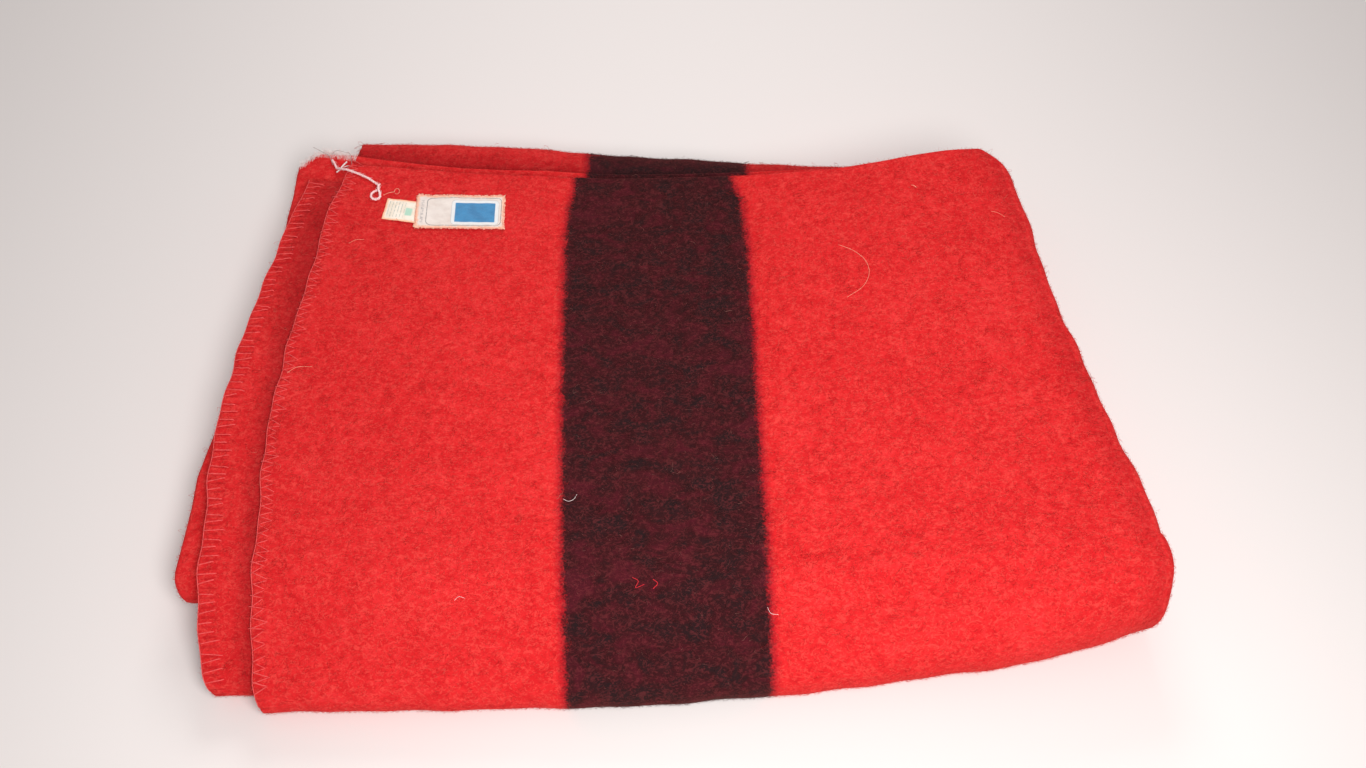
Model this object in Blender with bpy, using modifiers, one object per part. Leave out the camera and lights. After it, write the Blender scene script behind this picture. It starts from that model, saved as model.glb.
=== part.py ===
"""Wool blanket, folded in four both ways into a thick pile that lies on a flat surface.

The cloth is one open surface with a thickness. It is folded twice along its length into a bundle
of four layers, and the bundle is folded twice across, so the pile is sixteen layers high. X runs
along the blanket's length, Y from the near fold to the far side, Z up. Units are metres.
"""

import math

import bmesh
import bpy
import numpy as np
from mathutils import Vector

MM = 0.001

COLLECTION_NAME = "wool_blanket"

# The cloth: its thickness, and the pitch from the middle of one layer to the middle of the next.
# The pitch opens towards the right end, where it differs from the near side to the far one.
CLOTH_THICKNESS = 3.0 * MM
PITCH_LEFT = 4.0 * MM
PITCH_RIGHT = (5.6 * MM, 5.1 * MM, 6.25 * MM)
PITCH_RIGHT_Y = (340 * MM, 560 * MM, 800 * MM)
RISE_FROM_X = -60 * MM
RISE_TO_X = 290 * MM

# Slow hollows and rises of the layers, as a share of the pitch. The left end lies calm.
UNEVENNESS = 0.02
UNEVEN_LENGTH_X = 70 * MM
UNEVEN_LENGTH_Y = 90 * MM
CALM_UNTIL_X = -80 * MM
CALM_FADE = 110 * MM

# The layers of one bundle, counted from its inner side: the outer layer is the one that shows.
OUTER_LAYER = 3.0
LAYERS_IN_CORE = 9.0

# The near fold is a little flatter than round. The far fold springs open past the selvedges, by
# this share of the way that it reaches past them.
NEAR_FOLD_FLATNESS = 0.85
FAR_FOLD_SPRING = 0.33

# Where the pile's middle lies in the coordinates of the tables below.
PILE_CENTRE = Vector((0.0 * MM, 601.0 * MM))

# The lines that run along X, in millimetres: y at each of these places along the blanket.
LINE_X = (-290, -180, 0, 150, 270, 340)
FOLD_LINES = {
    "near_fold_front": (344, 342, 340, 347, 361, 380),
    "inner_fold_front": (419, 411, 402, 396, 398, 406),
    "top_selvedge": (813, 797, 781, 771, 771, 757),
    "second_selvedge": (825, 813, 797, 785, 778, 764),
    "far_fold_back": (864, 859, 838, 823, 811, 799),
}
# The second layer's selvedge lies further in than the top one's at the left end.
SECOND_LAYER_SETBACK = 19 * MM
SETBACK_FROM_X = -235 * MM
SETBACK_TO_X = -155 * MM
SETBACK_UNTIL = 0.2
# How open the near fold stands, from 0 where the quarters touch to 1 where it wraps the others.
NEAR_FOLD_OPENING = (0.18, 0.26, 0.46, 0.74, 0.93, 0.96)

# The ends and side folds, in millimetres: x at each station along the folded width. Station 0 is
# the top selvedge, 4 the near fold, 6 the far fold, 8 the inner fold and 10 the second selvedge.
EDGE_COLUMNS = ("station", "top_end", "second_end", "left_fold", "right_fold")
EDGES = (
    (0.0, -255, -290, -262, 272),
    (0.12, -259, -292.5, -262.7, 287),
    (0.35, -266, -297, -264, 293),
    (1.0, -275, -311, -270, 301),
    (2.0, -286, -325, -275, 316),
    (3.0, -280, -316, -272, 337),
    (3.7, -277, -309, -270, 340),
    (4.0, -274, -304, -268, 337),
    (5.0, -290, -312, -282, 322),
    (6.0, -254, -257, -258, 285),
    (6.4, -253, -256, -259, 289),
    (7.0, -292, -304, -300, 312),
    (8.0, -312, -318, -334, 335),
    (8.7, -308, -312, -333, 325),
    (9.2, -300, -306, -315, 312),
    (10.0, -285, -292, -306, 272),
)

# The band dyed into the cloth, and the other places where every layer has a row of points.
BAND_LEFT_X = -72 * MM
BAND_RIGHT_X = 70 * MM
SHARED_X = (-235 * MM, -155 * MM, BAND_LEFT_X, 0.0, BAND_RIGHT_X, 150 * MM, 225 * MM)

# How finely each stretch is divided.
SIDE_FOLD_STEPS = 5
TIGHT_FOLD_STEPS = 4
PANEL_STEPS = 5
CORNER_SHARES = (0.04, 0.11)
SLOPE_STEPS = 5
OVERHANG_STEPS = 2
NEAR_FOLD_STEPS = 8
FAR_FOLD_STEPS = 7
INNER_FOLD_STEPS = 6

# The label and the care tag, sewn on near the far left corner of the top layer.
TOUCH_GAP = 0.3 * MM
LABEL_SIZE = (72 * MM, 36 * MM, 0.6 * MM)
LABEL_CENTRE = (-158.8 * MM, 745.6 * MM)
TAG_SIZE = (32 * MM, 23 * MM, 0.4 * MM)
TAG_CENTRE = (-206 * MM, 748 * MM)
LABEL_STEP_LENGTH = 10 * MM
LABEL_STEPS = (22, 4)
TAG_STEPS = (6, 4)

# The yarn tail: its thickness, and its route as x, y and height over the top layer, millimetres.
YARN_DIAMETER = 2.0 * MM
YARN_ROUTE = (
    (-277, 823, -15.2),
    (-274.8, 819, -14.4),
    (-271.5, 812.5, -12),
    (-266.5, 806, -6.5),
    (-261.8, 801, -2),
    (-257, 798.3, 0),
    (-253, 796.4, 0.1),
    (-246, 792.9, 0.1),
    (-239.8, 788.7, 0.1),
    (-234.7, 784, 0.1),
    (-230.6, 779.8, 0.1),
    (-229.6, 776.9, 0.1),
    (-231.2, 774.6, 0.1),
    (-233.8, 772.6, 0.1),
    (-235.2, 769.2, 0.1),
    (-233.8, 765.8, 0.1),
    (-230.5, 764.1, 0.1),
    (-227.8, 765.8, 0.1),
    (-227.6, 769, 0.9),
    (-228.9, 772.2, 2.4),
    (-229.9, 775.6, 2.6),
    (-229.2, 779.2, 2.4),
)
YARN_POINTS = 48
YARN_SIDES_RESOLUTION = 2

# The finishes: each one's linear colour and its roughness.
SCARLET_WOOL = ("scarlet_wool", (0.57, 0.020, 0.018), 0.95)
DARK_BAND_WOOL = ("dark_band_wool", (0.030, 0.008, 0.014), 0.95)
WOVEN_LABEL = ("woven_cream_label", (0.80, 0.72, 0.58), 0.6)
PRINTED_TAG = ("printed_care_tag", (0.78, 0.78, 0.68), 0.55)
WHITE_YARN = ("white_wool_yarn", (0.86, 0.78, 0.76), 0.9)


def smooth(share):
    """A share from 0 to 1, easing in and out."""
    held = np.clip(share, 0.0, 1.0)
    return held * held * (3.0 - 2.0 * held)


def curve_through(places, values, at):
    """The smooth curve through a few places, read at others (cubic Hermite)."""
    places = np.asarray(places, float)
    values = np.asarray(values, float)
    at = np.clip(np.asarray(at, float), places[0], places[-1])
    slopes = np.gradient(values, places)
    left = np.clip(np.searchsorted(places, at, side="right") - 1, 0, len(places) - 2)
    width = places[left + 1] - places[left]
    share = (at - places[left]) / width
    rise = values[left + 1] - values[left]
    bend = share * (1.0 - share)
    start_pull = (slopes[left] * width - rise) * (1.0 - share)
    end_pull = (rise - slopes[left + 1] * width) * share
    return values[left] + share * rise + bend * (start_pull + end_pull)


def fold_line(name, x):
    """y of a named line at x."""
    return curve_through(np.array(LINE_X) * MM, np.array(FOLD_LINES[name]) * MM, x)


def edge(name, station):
    """x of a named end or side fold at a station along the folded width."""
    rows = np.array(EDGES)
    return curve_through(rows[:, 0], rows[:, EDGE_COLUMNS.index(name)] * MM, station)


def pitch(x, y):
    """From the middle of one layer to the middle of the next, which opens towards the right."""
    right = curve_through(PITCH_RIGHT_Y, PITCH_RIGHT, y)
    rise = smooth((x - RISE_FROM_X) / (RISE_TO_X - RISE_FROM_X))
    calm = smooth((x - CALM_UNTIL_X) / CALM_FADE)
    wave = np.sin(x / UNEVEN_LENGTH_X) * np.sin(y / UNEVEN_LENGTH_Y)
    return (PITCH_LEFT + (right - PITCH_LEFT) * rise) * (1.0 + UNEVENNESS * calm * wave)


def half_outer_fold(x, y, inner_radius):
    """From the middle of a fold's arc to its outermost face."""
    return inner_radius + OUTER_LAYER * pitch(x, y) + CLOTH_THICKNESS / 2


def far_fold_y(x):
    """y of the far fold's middle."""
    back = fold_line("far_fold_back", x)
    selvedge = fold_line("top_selvedge", x)
    closed = back - half_outer_fold(x, back, pitch(x, back) / 2)
    return (closed + FAR_FOLD_SPRING / 2 * selvedge) / (1.0 + FAR_FOLD_SPRING / 2)


def far_spring(x, y):
    """How much the far fold has sprung open, from the top selvedge to the fold's middle."""
    selvedge = fold_line("top_selvedge", x)
    reach = far_fold_y(x) - selvedge
    return FAR_FOLD_SPRING * reach * smooth((y - selvedge) / reach)


def quarter_heights(x, y):
    """Height of the innermost layer of the bottom, third and second quarters."""
    bottom = CLOTH_THICKNESS / 2 + OUTER_LAYER * pitch(x, y)
    third = bottom + pitch(x, y) + far_spring(x, y)
    second = third + (2 * OUTER_LAYER + 1) * pitch(x, y)
    return bottom, third, second


def near_fold_gap(x):
    """Between the innermost layers of the top and bottom quarters at the near fold."""
    opening = curve_through(np.array(LINE_X) * MM, NEAR_FOLD_OPENING, x)
    return LAYERS_IN_CORE * pitch(x, fold_line("near_fold_front", x)) * opening


def near_fold_y(x):
    """y of the near fold's middle."""
    front = fold_line("near_fold_front", x)
    return front + half_outer_fold(x, front, NEAR_FOLD_FLATNESS * near_fold_gap(x) / 2)


def inner_fold_y(x):
    """y of the inner fold's middle."""
    front = fold_line("inner_fold_front", x)
    return front + half_outer_fold(x, front, pitch(x, front) / 2)


def top_height(x, y):
    """Height of the top quarter's innermost layer, which slopes down to the near fold."""
    bottom, _, second = quarter_heights(x, y)
    full = second + pitch(x, y) - bottom
    near = near_fold_gap(x)
    share = smooth((y - near_fold_y(x)) / (inner_fold_y(x) - near_fold_y(x)))
    return bottom + near + (full - near) * share


def top_face(x, y):
    """Height of the face that shows on top."""
    return top_height(x, y) + OUTER_LAYER * pitch(x, y) + CLOTH_THICKNESS / 2


def between(start, end, share, x):
    """y on the way from one line to another."""
    return start(x) + (end(x) - start(x)) * share


def top_selvedge_y(x):
    """y of the top quarter's selvedge."""
    return fold_line("top_selvedge", x)


def selvedge_setback(x, layer):
    """How far in a layer of the top quarter ends."""
    share = smooth((SETBACK_TO_X - x) / (SETBACK_TO_X - SETBACK_FROM_X))
    return np.where(layer < OUTER_LAYER - 0.5, SECOND_LAYER_SETBACK * share, 0.0)


def second_selvedge_y(x):
    """y of the second quarter's selvedge."""
    return fold_line("second_selvedge", x)


def flat_row(quarter, start, end, share):
    """The function that places one row of a flat quarter."""

    def place(x, layer):
        y = between(start, end, share, x)
        if quarter == "top" and share < SETBACK_UNTIL:
            y = y - selvedge_setback(x, layer) * (1.0 - share / SETBACK_UNTIL)
        bottom, third, second = quarter_heights(x, y)
        heights = {
            "top": top_height(x, y) + layer * pitch(x, y),
            "slope": top_height(x, y) + layer * pitch(x, y),
            "bottom": bottom - layer * pitch(x, y),
            "third": third + layer * pitch(x, y),
            "second": second - layer * pitch(x, y),
        }
        return y, heights[quarter]

    return place


def near_fold_row(angle):
    """The function that places one row of the near fold, which wraps the whole pile."""

    def place(x, layer):
        y = near_fold_y(x)
        gap = near_fold_gap(x)
        bottom, _, _ = quarter_heights(x, y)
        offset = layer * pitch(x, y)
        reach = NEAR_FOLD_FLATNESS * gap / 2 + offset
        half_height = gap / 2 + offset
        return y - reach * math.sin(angle), bottom + gap / 2 + half_height * math.cos(angle)

    return place


def far_fold_row(angle):
    """The function that places one row of the far fold, under the selvedges."""

    def place(x, layer):
        y = far_fold_y(x)
        bottom, third, _ = quarter_heights(x, y)
        radius = (third - bottom) / 2 + layer * pitch(x, y)
        return y + radius * math.sin(angle), (bottom + third) / 2 - radius * math.cos(angle)

    return place


def inner_fold_row(angle):
    """The function that places one row of the inner fold, from the third quarter to the second."""

    def place(x, layer):
        y = inner_fold_y(x)
        _, third, second = quarter_heights(x, y)
        radius = pitch(x, y) * (0.5 + OUTER_LAYER - layer)
        return y - radius * math.sin(angle), (third + second) / 2 - radius * math.cos(angle)

    return place


def rows_across():
    """(station, function) of every row of points, from the top selvedge to the second one."""
    rows = []

    def flat(quarter, start, end, stations, steps):
        for i in range(steps):
            share = i / steps
            station = stations[0] + (stations[1] - stations[0]) * share
            rows.append((station, flat_row(quarter, start, end, share)))

    def fold(row_at, stations, steps):
        for i in range(steps):
            share = i / steps
            station = stations[0] + (stations[1] - stations[0]) * share
            rows.append((station, row_at(math.pi * share)))

    flat("top", top_selvedge_y, inner_fold_y, (0.0, 3.0), PANEL_STEPS)
    flat("slope", inner_fold_y, near_fold_y, (3.0, 3.7), SLOPE_STEPS)
    fold(near_fold_row, (3.7, 4.3), NEAR_FOLD_STEPS)
    flat("bottom", near_fold_y, inner_fold_y, (4.3, 4.5), 1)
    flat("bottom", inner_fold_y, top_selvedge_y, (4.5, 5.6), PANEL_STEPS)
    flat("bottom", top_selvedge_y, far_fold_y, (5.6, 5.7), OVERHANG_STEPS)
    fold(far_fold_row, (5.7, 6.3), FAR_FOLD_STEPS)
    flat("third", far_fold_y, top_selvedge_y, (6.3, 6.4), OVERHANG_STEPS)
    flat("third", top_selvedge_y, inner_fold_y, (6.4, 7.7), PANEL_STEPS)
    fold(inner_fold_row, (7.7, 8.3), INNER_FOLD_STEPS)
    flat("second", inner_fold_y, top_selvedge_y, (8.3, 9.9), PANEL_STEPS)
    flat("second", top_selvedge_y, second_selvedge_y, (9.9, 10.0), 1)
    rows.append((10.0, flat_row("second", top_selvedge_y, second_selvedge_y, 1.0)))
    rows[1:1] = [
        (3.0 * share, flat_row("top", top_selvedge_y, inner_fold_y, share))
        for share in CORNER_SHARES
    ]
    return rows


def columns_along():
    """(place, layer) of every column of points, from the top end to the second end.

    A place is a function of the station that gives x, and a layer is counted from the bundle's
    inner side.
    """
    columns = []

    def fold_centre(station, layer_pitch):
        return edge("right_fold", station) - OUTER_LAYER / 2 * layer_pitch - CLOTH_THICKNESS / 2

    def shared(layer, backwards=False):
        for x in reversed(SHARED_X) if backwards else SHARED_X:
            columns.append((lambda station, p, x=x: x, layer))

    def side_fold(first_layer, last_layer, steps):
        middle = (first_layer + last_layer) / 2
        half = (first_layer - last_layer) / 2
        for i in range(steps + 1):
            angle = math.pi * i / steps
            bulge = abs(half) * math.sin(angle)
            columns.append(
                (
                    lambda station, p, bulge=bulge: fold_centre(station, p) + bulge * p,
                    middle + half * math.cos(angle),
                )
            )

    columns.append((lambda station, p: edge("top_end", station), 3.0))
    shared(3.0)
    side_fold(3.0, 0.0, SIDE_FOLD_STEPS)
    shared(0.0, backwards=True)
    for i in range(TIGHT_FOLD_STEPS + 1):
        angle = math.pi * i / TIGHT_FOLD_STEPS
        columns.append(
            (
                lambda station, p, out=0.5 * math.sin(angle): edge("left_fold", station) - out * p,
                0.5 - 0.5 * math.cos(angle),
            )
        )
    shared(1.0)
    side_fold(1.0, 2.0, TIGHT_FOLD_STEPS)
    shared(2.0, backwards=True)
    columns.append((lambda station, p: edge("second_end", station), 2.0))
    return columns


def folded_points():
    """Every point of the cloth's middle surface, as an array of rows, columns and x, y, z."""
    rows = rows_across()
    columns = columns_along()
    points = np.zeros((len(rows), len(columns), 3))
    layers = np.array([layer for _, layer in columns])
    for i, (station, place) in enumerate(rows):
        near_x = np.array([at(station, PITCH_LEFT) for at, _ in columns])
        y, _ = place(near_x, layers)
        local_pitch = pitch(near_x, y)
        x = np.array([at(station, p) for (at, _), p in zip(columns, local_pitch)])
        y, z = place(x, layers)
        points[i] = np.stack([x - PILE_CENTRE.x, y - PILE_CENTRE.y, z], axis=1)
    return points


def new_object(name, data, collection):
    """An object in the blanket's collection."""
    obj = bpy.data.objects.new(name, data)
    collection.objects.link(obj)
    return obj


def finish(obj, look):
    """A Principled material on an object, from one of the finishes above."""
    name, colour, roughness = look
    material = bpy.data.materials.new(name)
    material.use_nodes = True
    shader = material.node_tree.nodes["Principled BSDF"]
    shader.inputs["Base Color"].default_value = (*colour, 1.0)
    shader.inputs["Roughness"].default_value = roughness
    shader.inputs["Metallic"].default_value = 0.0
    obj.data.materials.append(material)


def add_thickness(obj, thickness):
    """Cloth of even thickness, half of it to each side."""
    solidify = obj.modifiers.new("thickness", "SOLIDIFY")
    solidify.thickness = thickness
    solidify.offset = 0.0


def surface_from(name, points, collection):
    """A mesh of a grid primitive whose points are moved to the given rows and columns."""
    row_count, column_count, _ = points.shape
    mesh = bmesh.new()
    bmesh.ops.create_grid(mesh, x_segments=column_count - 1, y_segments=row_count - 1, size=0.5)
    for vertex in mesh.verts:
        column = round((vertex.co.x + 0.5) * (column_count - 1))
        row = round((vertex.co.y + 0.5) * (row_count - 1))
        vertex.co = Vector(points[row, column])
    data = bpy.data.meshes.new(name)
    mesh.to_mesh(data)
    mesh.free()
    data.shade_smooth()
    return new_object(name, data, collection)


def make_blanket(collection):
    """The cloth: one piece, folded in four both ways."""
    points = folded_points()
    obj = surface_from("blanket", points, collection)
    finish(obj, SCARLET_WOOL)
    finish(obj, DARK_BAND_WOOL)
    first = 1 + SHARED_X.index(BAND_LEFT_X)
    last = 1 + SHARED_X.index(BAND_RIGHT_X)
    left_x, right_x = BAND_LEFT_X - PILE_CENTRE.x, BAND_RIGHT_X - PILE_CENTRE.x
    outer = {tuple(np.round(p, 6)) for p in points[:, first : last + 1].reshape(-1, 3)}
    for face in obj.data.polygons:
        corners = [obj.data.vertices[i].co for i in face.vertices]
        in_band = all(left_x - MM < c.x < right_x + MM for c in corners)
        if in_band and all(tuple(np.round(c, 6)) in outer for c in corners):
            face.material_index = 1
    add_thickness(obj, CLOTH_THICKNESS)
    return obj


def make_patch(name, centre, size, lift, steps, collection):
    """A thin woven patch that lies on the top layer, lift(x) above it."""
    xs = centre[0] + (np.arange(steps[0] + 1) / steps[0] - 0.5) * size[0]
    ys = centre[1] + (np.arange(steps[1] + 1) / steps[1] - 0.5) * size[1]
    x, y = np.meshgrid(xs, ys)
    z = top_face(x, y) + lift(x) + size[2] / 2
    points = np.stack([x - PILE_CENTRE.x, y - PILE_CENTRE.y, z], axis=2)
    obj = surface_from(name, points, collection)
    add_thickness(obj, size[2])
    return obj


def make_label(collection):
    """The main label, whose left end rides up over the care tag."""
    step = TAG_SIZE[2] + TOUCH_GAP
    overlap_end = TAG_CENTRE[0] + TAG_SIZE[0] / 2 + TOUCH_GAP

    def lift(x):
        return TOUCH_GAP + step * (1.0 - smooth((x - overlap_end) / LABEL_STEP_LENGTH))

    obj = make_patch("main_label", LABEL_CENTRE, LABEL_SIZE, lift, LABEL_STEPS, collection)
    finish(obj, WOVEN_LABEL)
    return obj


def make_tag(collection):
    """The care tag, caught under the main label's left end."""
    obj = make_patch("care_tag", TAG_CENTRE, TAG_SIZE, lambda x: TOUCH_GAP, TAG_STEPS, collection)
    finish(obj, PRINTED_TAG)
    return obj


def yarn_line():
    """Points along the yarn's smooth route, evenly spaced."""
    route = np.array(YARN_ROUTE) * MM
    top = top_face(route[:, 0], route[:, 1])
    route[:, 2] += top + TOUCH_GAP + YARN_DIAMETER / 2
    steps = np.linalg.norm(np.diff(route, axis=0), axis=1)
    along = np.concatenate([[0.0], np.cumsum(steps)])
    at = np.linspace(0.0, along[-1], YARN_POINTS)
    line = np.stack([curve_through(along, route[:, k], at) for k in range(3)], axis=1)
    return line - np.array([PILE_CENTRE.x, PILE_CENTRE.y, 0.0])


def make_yarn(collection):
    """The loose tail of the edge yarn, with a loop at its end."""
    data = bpy.data.curves.new("yarn_tail", "CURVE")
    data.dimensions = "3D"
    data.bevel_depth = YARN_DIAMETER / 2
    data.bevel_resolution = YARN_SIDES_RESOLUTION
    data.use_fill_caps = True
    line = yarn_line()
    spline = data.splines.new("POLY")
    spline.points.add(len(line) - 1)
    for point, place in zip(spline.points, line):
        point.co = (*place, 1.0)
    obj = new_object("yarn_tail", data, collection)
    finish(obj, WHITE_YARN)
    return obj


def main():
    """Clears the scene and makes the blanket and what is sewn to it."""
    for obj in list(bpy.data.objects):
        bpy.data.objects.remove(obj, do_unlink=True)
    collection = bpy.data.collections.new(COLLECTION_NAME)
    bpy.context.scene.collection.children.link(collection)
    make_blanket(collection)
    make_label(collection)
    make_tag(collection)
    make_yarn(collection)


main()
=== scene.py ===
"""Wool blanket, folded in quarters both ways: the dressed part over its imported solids.

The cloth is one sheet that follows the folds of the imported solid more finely, with a felted nap,
a dark band, stitched ends, a woven label, a care tag and a loose tail of the edge yarn.
Units are metres. X runs along the pile, Y from the near fold to the far side, Z up.
"""

import logging
import math
from dataclasses import dataclass
from enum import Enum
from functools import reduce
from typing import Callable, Optional, Sequence

import bmesh
import bpy
import numpy as np
from bpy.types import Material, Mesh, NodeTree, Object
from mathutils import Matrix, Vector
from mathutils.bvhtree import BVHTree


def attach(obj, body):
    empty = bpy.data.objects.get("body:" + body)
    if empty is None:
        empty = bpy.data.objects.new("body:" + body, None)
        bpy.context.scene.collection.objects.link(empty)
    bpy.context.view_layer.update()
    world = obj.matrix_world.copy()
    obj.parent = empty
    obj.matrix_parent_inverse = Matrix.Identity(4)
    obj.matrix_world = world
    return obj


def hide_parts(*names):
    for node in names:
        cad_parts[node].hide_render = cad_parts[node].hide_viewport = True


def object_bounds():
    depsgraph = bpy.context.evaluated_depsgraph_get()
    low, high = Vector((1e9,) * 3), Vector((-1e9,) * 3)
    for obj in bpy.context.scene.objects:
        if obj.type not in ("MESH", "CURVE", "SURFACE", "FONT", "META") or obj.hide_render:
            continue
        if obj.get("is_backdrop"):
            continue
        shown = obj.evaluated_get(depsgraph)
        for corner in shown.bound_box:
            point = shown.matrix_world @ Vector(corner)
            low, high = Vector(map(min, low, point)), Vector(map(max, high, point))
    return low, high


MM = 0.001
LOG = logging.getLogger("blanket")

# Where the pile's middle lies in the coordinates of the tables below.
PILE_CENTRE = np.array([0.0 * MM, 601.0 * MM, 0.0])

# The lines that run along X, in millimetres: y at each of these places along the blanket.
LINE_X = (-290, -180, 0, 150, 270, 340)
FOLD_LINES = {
    "near_fold_front": (344, 342, 340, 347, 361, 380),
    "inner_fold_front": (419, 411, 402, 396, 398, 406),
    "top_selvedge": (813, 797, 781, 770, 779, 766),
    "second_selvedge": (832, 814, 797, 785, 778, 764),
    "far_fold_back": (864, 859, 838, 819, 811, 799),
}
NEAR_FOLD_OPENING = (0.18, 0.26, 0.46, 0.74, 0.93, 0.96)

# The ends and side folds, in millimetres: x at each station along the folded width. Station 0 is
# the top selvedge, 4 the near fold, 6 the far fold, 8 the inner fold and 10 the second selvedge.
EDGE_COLUMNS = ("station", "top_end", "second_end", "left_fold", "right_fold")
EDGES = (
    (0.0, -255, -290, -262, 272),
    (0.12, -259, -292.5, -262.7, 287),
    (0.35, -266, -297, -264, 293),
    (1.0, -275, -311, -270, 302),
    (2.0, -286, -325, -275, 321),
    (3.0, -280, -318, -272, 338),
    (3.7, -277, -313, -270, 341),
    (4.0, -274, -308, -268, 341),
    (5.0, -290, -313, -282, 325),
    (6.0, -260, -263, -264, 285),
    (6.4, -258, -261, -264, 289),
    (7.0, -292, -304, -300, 312),
    (8.0, -312, -318, -332, 335),
    (8.7, -308, -312, -331, 325),
    (9.2, -299, -304, -309, 312),
    (10.0, -285, -292, -303, 272),
)

# The dark band's borders along the top, in millimetres: y, left x and right x.
BAND_BORDERS = (
    (326, -67, 70),
    (430, -70, 70),
    (555, -73, 71),
    (697, -74, 72),
    (747, -72, 69),
    (773, -67, 62),
)
BAND_HALF_WIDTH = 71 * MM
# On the far fold the band shows further to the right: its borders there.
BAND_AT_FAR_FOLD = (-58 * MM, 78 * MM)

# The yarn tail's route: x, y and height over the top layer, millimetres.
YARN_ROUTE = (
    (-277, 823, -15.2), (-274.8, 819, -14.4), (-271.5, 812.5, -12), (-266.5, 806, -6.5),
    (-261.8, 801, -2), (-257, 798.3, 0), (-253, 796.4, 0.1), (-246, 792.9, 0.1),
    (-239.8, 788.7, 0.1), (-234.7, 784, 0.1), (-230.6, 779.8, 0.1), (-229.6, 776.9, 0.1),
    (-231.2, 774.6, 0.1), (-233.8, 772.6, 0.1), (-235.2, 769.2, 0.1), (-233.8, 765.8, 0.1),
    (-230.5, 764.1, 0.1), (-227.8, 765.8, 0.1), (-227.6, 769, 0.9), (-228.9, 772.2, 2.4),
    (-229.9, 775.6, 2.6), (-229.2, 779.2, 2.4),
)

# How far a place of the cloth has to be open for its nap to stand in full.
OPEN_REACH = 60 * MM

Array = np.ndarray
Color = tuple[float, float, float, float]


def linear(sheet_colour: str) -> Color:
    """Turns an sRGB hex colour into the linear values that shaders take.

    Args:
        sheet_colour: six hex digits after a hash sign.

    Returns:
        Red, green, blue and an alpha of one.
    """
    parts = [int(sheet_colour[i : i + 2], 16) / 255 for i in (1, 3, 5)]
    values = [v / 12.92 if v <= 0.04045 else ((v + 0.055) / 1.055) ** 2.4 for v in parts]
    return (values[0], values[1], values[2], 1.0)


def smooth(share: Array) -> Array:
    """Eases a share from 0 to 1 in and out."""
    held = np.clip(share, 0.0, 1.0)
    return held * held * (3.0 - 2.0 * held)


def curve_through(places: Sequence, values: Sequence, at: Array) -> Array:
    """Reads the smooth curve through a few places at others (cubic Hermite).

    Args:
        places: where the values are known, rising.
        values: the values there.
        at: where the curve is read.

    Returns:
        The curve's values.
    """
    places = np.asarray(places, float)
    values = np.asarray(values, float)
    at = np.clip(np.asarray(at, float), places[0], places[-1])
    slopes = np.gradient(values, places)
    left = np.clip(np.searchsorted(places, at, side="right") - 1, 0, len(places) - 2)
    width = places[left + 1] - places[left]
    share = (at - places[left]) / width
    rise = values[left + 1] - values[left]
    bend = share * (1.0 - share)
    start_pull = (slopes[left] * width - rise) * (1.0 - share)
    end_pull = (rise - slopes[left + 1] * width) * share
    return values[left] + share * rise + bend * (start_pull + end_pull)


def waves(at: Array, lengths: Sequence[float], phase: float) -> Array:
    """Adds up sine waves of a few lengths.

    Args:
        at: positions in metres.
        lengths: the wavelengths in metres.
        phase: shifts every wave.

    Returns:
        Values from about -1 to 1.
    """
    total = sum(np.sin(2 * math.pi * at / length + phase * (i + 1)) for i, length in enumerate(lengths))
    return total / len(lengths)


def running(steps: Array) -> Array:
    """Adds up steps, starting from nothing."""
    return np.concatenate([[0.0], np.cumsum(steps)])


def run_of(points: Array) -> Array:
    """Gives each point's distance along a line of points."""
    return running(np.linalg.norm(np.diff(points, axis=0), axis=1))


def unit(vectors: Array) -> Array:
    """Scales each vector to a length of one."""
    return vectors / np.linalg.norm(vectors, axis=-1, keepdims=True)


@dataclass(frozen=True)
class Row:
    """One row of points across the cloth's width."""

    station: float
    place: Callable
    rim: float = 1.0


@dataclass(frozen=True)
class Column:
    """One column of points along the cloth's length."""

    place: Callable
    layer: float
    band_shift: float
    rim: float = 1.0


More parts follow.
